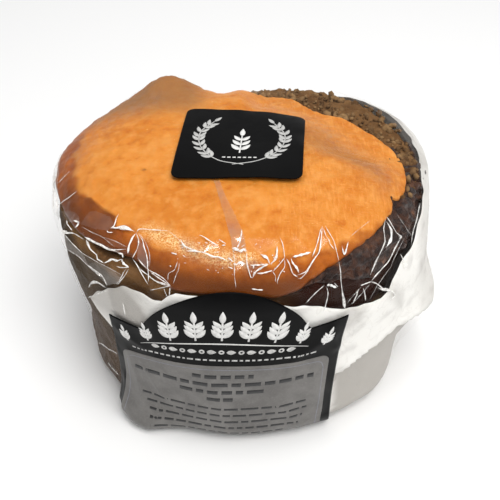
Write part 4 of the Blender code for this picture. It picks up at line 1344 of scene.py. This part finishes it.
def roundedSquare(half, corner, count):
    # a grid over a square with round corners, as two arrays
    steps = np.linspace(-1, 1, count)
    steps = np.sign(steps) * (1 - (1 - np.abs(steps)) ** 1.25) * half
    across, along = np.meshgrid(steps, steps, indexing="ij")
    flat = half - corner
    overX = np.clip((np.abs(across) - flat) / corner, 0, 1)
    overY = np.clip((np.abs(along) - flat) / corner, 0, 1)
    inCorner = (overX > 0) & (overY > 0)
    reachX = flat + corner * overX * np.sqrt(1 - overY ** 2 / 2)
    reachY = flat + corner * overY * np.sqrt(1 - overX ** 2 / 2)
    return np.where(inCorner, np.sign(across) * reachX, across), np.where(inCorner, np.sign(along) * reachY, along)


def buildTopLabel(black):
    across, along = roundedSquare(topLabel["side"] / 2, topLabel["corner"], topLabel["cells"])
    cells = topLabel["cells"]
    piece = makePiece("topLabel", topLabelPoint(across, along), [face[::-1] for face in gridFaces(cells, cells)], black)
    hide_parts("top_label")
    return thicken(piece, topLabel["thickness"], 1.0)


def buildFrontLabel(black):
    half = frontLabel["halfWidth"]
    across = np.linspace(-half, half, frontLabel["columns"])[:, None]
    share = np.linspace(0, 1, frontLabel["rows"])[None, :]
    faces = [face[::-1] for face in gridFaces(frontLabel["columns"], frontLabel["rows"])]
    piece = makePiece("frontLabel", frontLabelSpot(across, share), faces, black)
    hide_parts("front_label")
    return thicken(piece, frontLabel["thickness"], 1.0)


# Print is laid on the labels as thin strips. Each is a path in the label's own
# directions with a width at every point.
def inkStrip(path, widths, place, out):
    path = np.asarray(path, float)
    ahead = np.gradient(path, axis=0)
    ahead = ahead / np.maximum(np.linalg.norm(ahead, axis=1, keepdims=True), 1e-9)
    side = np.stack([-ahead[:, 1], ahead[:, 0]], 1) * np.asarray(widths, float).reshape(-1, 1) / 2
    edges = np.stack([path + side, path, path - side])
    return place(edges[..., 0], edges[..., 1], out)


def printStrips(name, strips, place, finish, out):
    points, faces = stripParts([inkStrip(path, widths, place, out) for path, widths in strips])
    piece = makePiece(name, points, faces, finish)
    return thicken(piece, 0.03, 1.0)


def leafStrip(base, heading, length, width, bend=0.0):
    # one pointed leaf or grain from its base
    t = np.linspace(0, 1, 9)
    turn = math.radians(heading) + bend * (t - 0.5)
    steps = np.stack([np.cos(turn), np.sin(turn)], 1) * length / 8
    path = np.vstack([[0, 0], np.cumsum(steps[:-1], 0)]) + base
    return path, width * np.sin(math.pi * t ** 0.8) ** 0.9 + 0.04


def sprig(base, heading, length, leaves, leafLength, leafWidth, stem):
    # a stem with leaves in pairs and one at its tip
    turn = math.radians(heading)
    ahead = np.array([math.cos(turn), math.sin(turn)])
    strips = [(base + ahead * np.linspace(0, length, 6)[:, None], np.full(6, stem))]
    for pair in range(leaves):
        spot = base + ahead * length * (0.18 + 0.8 * pair / leaves)
        shrink = 1.0 - 0.22 * pair / leaves
        for lean in (-1, 1):
            strips.append(leafStrip(spot, heading + lean * 42, leafLength * shrink, leafWidth * shrink, -lean * 0.5))
    strips.append(leafStrip(base + ahead * length * 0.96, heading, leafLength, leafWidth))
    return strips


def wheatEar(stops, grains, grainLength, grainWidth, stem):
    # a curved stem whose upper part carries grains in pairs
    path = smoothPath(stops, 0.8)
    strips = [(path, np.full(len(path), stem))]
    for grain in range(grains):
        share = 0.35 + 0.62 * grain / (grains - 1)
        at = int(share * (len(path) - 2))
        ahead = path[at + 1] - path[at]
        heading = math.degrees(math.atan2(ahead[1], ahead[0]))
        for lean in (-1, 1):
            strips.append(leafStrip(path[at], heading + lean * 33, grainLength, grainWidth, -lean * 0.4))
    strips.append(leafStrip(path[-1], heading, grainLength, grainWidth))
    return strips


def ringStrip(centre, radiusX, radiusY, width, start=0.0, end=360.0, count=48):
    turn = np.radians(np.linspace(start, end, count))
    return np.stack([centre[0] + radiusX * np.cos(turn), centre[1] + radiusY * np.sin(turn)], 1), np.full(count, width)


def buildTopPrint():
    grey = inkFinish("pale grey ink", (0.56, 0.555, 0.54), (0.40, 0.40, 0.39))
    white = inkFinish("white ink", (0.82, 0.815, 0.80), (0.66, 0.655, 0.64))
    wreath = []
    for side in (-1, 1):
        stem = [(side * -1.5, -11.5), (side * 5.5, -9.5), (side * 10.8, -3.5), (side * 11.8, 4.0), (side * 8.5, 10.0)]
        wreath += wheatEar(stem, 9, 3.1, 1.15, 0.34)
    printStrips("topLabelWreath", wreath, topLabelPoint, grey, topLabel["thickness"] + 0.02)
    middle = sprig(np.array([0.0, -6.0]), 90, 9.0, 3, 3.8, 1.5, 0.4)
    middle += [([(across, -8.2), (across + 0.9, -8.2)], (0.5, 0.5)) for across in np.arange(-4.5, 4.0, 1.4)]
    printStrips("topLabelSprig", middle, topLabelPoint, white, topLabel["thickness"] + 0.02)


def archBase(across, middle, drop):
    # a row that follows the label's arch
    return middle - drop * (across / 27.0) ** 2


def buildFrontPrint():
    white = inkFinish("white label ink", (0.80, 0.795, 0.78), (0.62, 0.615, 0.60))
    pale = inkFinish("pale label ink", (0.66, 0.655, 0.64), (0.36, 0.355, 0.35))
    dark = inkFinish("dark label ink", (0.008, 0.008, 0.009), (0.022, 0.022, 0.023))
    proud = frontLabel["thickness"] + 0.02
    band = []
    for across in np.linspace(-26.2, 26.2, 9):
        foot = archBase(across, 44.6, 7.5)
        size = min(1.0, (archHeight(across) - foot - 0.8) / 11.0)
        band += sprig(np.array([across, foot]), 90 - across * 0.7, 6.4 * size, 3, 4.0 * size, 1.6 * size, 0.5)
    rule = np.linspace(-22.0, 22.0, 60)
    band.append((np.stack([rule, archBase(rule, 43.4, 7.0)], 1), 0.45 * np.sin(np.linspace(0.25, math.pi - 0.25, 60))))
    printStrips("frontLabelGarland", band, frontLabelPoint, white, proud)
    row = []
    for number, across in enumerate(np.linspace(-17.5, 17.5, 15)):
        level = archBase(across, 40.3, 2.4)
        if number % 2:
            row.append(ringStrip((across, level), 0.55, 0.55, 0.45, count=14))
        else:
            row.append(leafStrip(np.array([across - 1.2, level]), 0, 2.4, 1.5))
    small = [(np.array([(across, archBase(across, 37.2, 1.9)), (across + length, archBase(across + length, 37.2, 1.9))]),
              (0.55, 0.55)) for across, length in dashRow(-25.0, 25.0, 1.1, 0.6, 81)]
    printStrips("frontLabelRows", row + small, frontLabelPoint, pale, proud)
    buildPanel(proud)
    lines = []
    for number, (left, right, height, dash, gap, thick) in enumerate(panelRows):
        for across, length in dashRow(left, right, dash, gap, 90 + number):
            path = np.linspace((across, height), (across + length, height), 5)
            lines.append((path + (0, 0.05), np.full(5, thick)))
    printStrips("frontLabelLines", lines, frontLabelPoint, dark, proud + 0.06)


# left end, right end, height, length of a dash, gap, thickness
panelRows = (
    (-7.5, 8.5, 30.6, 2.6, 1.0, 1.5), (-24.5, 24.5, 27.3, 3.0, 1.0, 1.5), (-11.0, 12.0, 24.1, 3.2, 1.0, 1.5),
    (-3.5, 4.5, 21.0, 2.4, 0.8, 1.5), (-22.5, 23.5, 16.6, 3.4, 0.8, 0.9), (-21.0, 24.0, 13.6, 2.8, 0.8, 0.9),
    (-20.0, 23.0, 10.6, 3.1, 0.8, 0.9), (-19.5, 22.0, 7.6, 2.6, 0.8, 0.9), (-19.0, 18.0, 4.6, 3.0, 0.8, 0.9),
)


def dashRow(left, right, dash, gap, seed):
    # a row of short bars of uneven length, as their left ends and lengths
    rng = np.random.default_rng(seed)
    row, across = [], left
    while across < right:
        length = dash * rng.uniform(0.55, 1.5)
        row.append((across, min(length, right - across)))
        across += length + gap
    return [bar for bar in row if bar[1] > 0.3]


panel = {"halfWidth": 28.8, "bottom": 1.25, "top": 35.0, "drop": 2.0, "corner": 2.6, "inset": 1.5}


def panelTop(across):
    edge = panel["halfWidth"] - panel["corner"]
    over = np.clip((np.abs(across) - edge) / panel["corner"], 0, 1)
    return panel["top"] - panel["drop"] * (across / 27.0) ** 2 - panel["corner"] * (1 - np.sqrt(1 - over ** 2))


def buildPanel(proud):
    steps = np.linspace(-1, 1, 120)
    across = (np.sign(steps) * (1 - (1 - np.abs(steps)) ** 1.3) * panel["halfWidth"])[:, None]
    share = np.linspace(0, 1, 60)[None, :]
    height = panel["bottom"] + (panelTop(across) - panel["bottom"]) * share
    faces = [face[::-1] for face in gridFaces(120, 60)]
    piece = makePiece("frontLabelPanel", frontLabelPoint(across, height, proud), faces, panelFinish())
    thicken(piece, 0.05, 1.0)
    line = inkFinish("panel inset line", (0.15, 0.15, 0.18), (0.22, 0.22, 0.24))
    inset = panel["inset"]
    across = np.linspace(-panel["halfWidth"] + inset, panel["halfWidth"] - inset, 90)
    over = np.stack([across, panelTop(across * panel["halfWidth"] / (panel["halfWidth"] - inset)) - inset], 1)
    down = np.linspace(over[0][1], panel["bottom"] + 0.6, 40)
    left = np.stack([np.full(40, across[0]), down], 1)
    right = np.stack([np.full(40, across[-1]), down], 1)
    strips = [(path, np.full(len(path), 0.28)) for path in (over, left, right)]
    printStrips("frontLabelInset", strips, frontLabelPoint, line, proud + 0.06)


# floor, light and camera
studio = {
    "target": (2.38, 0.0, 28.54),
    "distance": 240.72,
    "elevation": 39.74,
    "lens": 55.04,
    "world": 0.45,
    # name, turn round the pie, elevation, distance, size, power, whether it shows in shiny things, colour
    "lamps": (
        ("key light", 32.0, 58.0, 700.0, (420.0, 420.0), 3.5, False, (1.0, 0.99, 0.97)),
        ("back light", 180.0, 45.0, 800.0, (600.0, 260.0), 1.0, False, (0.98, 0.99, 1.0)),
        ("left light", -50.0, 35.0, 800.0, (160.0, 340.0), 0.2, False, (1.0, 1.0, 1.0)),
        ("overhead light", -6.0, 86.0, 700.0, (260.0, 110.0), 0.9, True, (1.0, 1.0, 1.0)),
    ),
}




def lookFrom(turn, elevation, distance, target):
    rise = math.radians(elevation)
    out = around(turn, distance * math.cos(rise), distance * math.sin(rise))
    return Vector(np.array(target) + out) * mm


def buildStudio():
    bpy.ops.mesh.primitive_plane_add(size=6.0, location=(0, 0, -0.0002))
    floor = bpy.context.object
    floor.name = "floor"
    finish = Finish("pale floor")
    shader = finish.add("BsdfPrincipled", {}, {"Base Color": (0.93, 0.93, 0.93), "Roughness": 0.9})
    floor.data.materials.append(finish.done(shader))
    world = bpy.data.worlds.new("soft studio")
    world.use_nodes = True
    world.node_tree.nodes["Background"].inputs["Color"].default_value = (1.0, 1.0, 1.0, 1.0)
    world.node_tree.nodes["Background"].inputs["Strength"].default_value = studio["world"]
    bpy.context.scene.world = world
    target = Vector(studio["target"]) * mm
    for name, turn, elevation, distance, size, power, shiny, colour in studio["lamps"]:
        light = bpy.data.lights.new(name, "AREA")
        light.shape = "RECTANGLE"
        light.size, light.size_y = size[0] * mm, size[1] * mm
        light.energy = power
        light.color = colour
        lamp = bpy.data.objects.new(name, light)
        bpy.context.scene.collection.objects.link(lamp)
        lamp.visible_glossy = shiny
        lamp.location = lookFrom(turn, elevation, distance, studio["target"])
        lamp.rotation_euler = (target - lamp.location).to_track_quat("-Z", "Y").to_euler()
    camera = bpy.data.objects.new("camera", bpy.data.cameras.new("camera"))
    bpy.context.scene.collection.objects.link(camera)
    camera.location = lookFrom(0.0, studio["elevation"], studio["distance"], studio["target"])
    camera.rotation_euler = (target - camera.location).to_track_quat("-Z", "Y").to_euler()
    camera.data.lens = studio["lens"]
    camera.data.clip_start = 0.01
    bpy.context.scene.camera = camera
    bpy.context.scene.view_settings.view_transform = "Standard"


for spare in [item for item in bpy.context.scene.objects if item.type in ("LIGHT", "CAMERA")]:
    bpy.data.objects.remove(spare)
buildStudio()
print("studio ready")
buildCrust()
buildRimCrumbs()
buildChutney()
print("crust and chutney ready")
buildCheese()
print("cheese ready")
buildPaper()
print("paper ready")
net, triangles = layNet()
netAngle, netDistance = sheetSpot(net)
netRng = np.random.default_rng(film["seed"] + 2)
netLift = netRng.uniform(-0.8, 0.25, len(net)) * ease((netDistance - 38) / 8)
corners = onSheet(netAngle, netDistance, netLift)
buildFilm(net, triangles, corners)
buildStrands(net, triangles, corners)
buildFilmBase()
print("film ready", len(triangles))
blackLabel = blackLabelFinish()
buildTopLabel(blackLabel)
buildFrontLabel(blackLabel)
buildTopPrint()
buildFrontPrint()
print("labels ready")
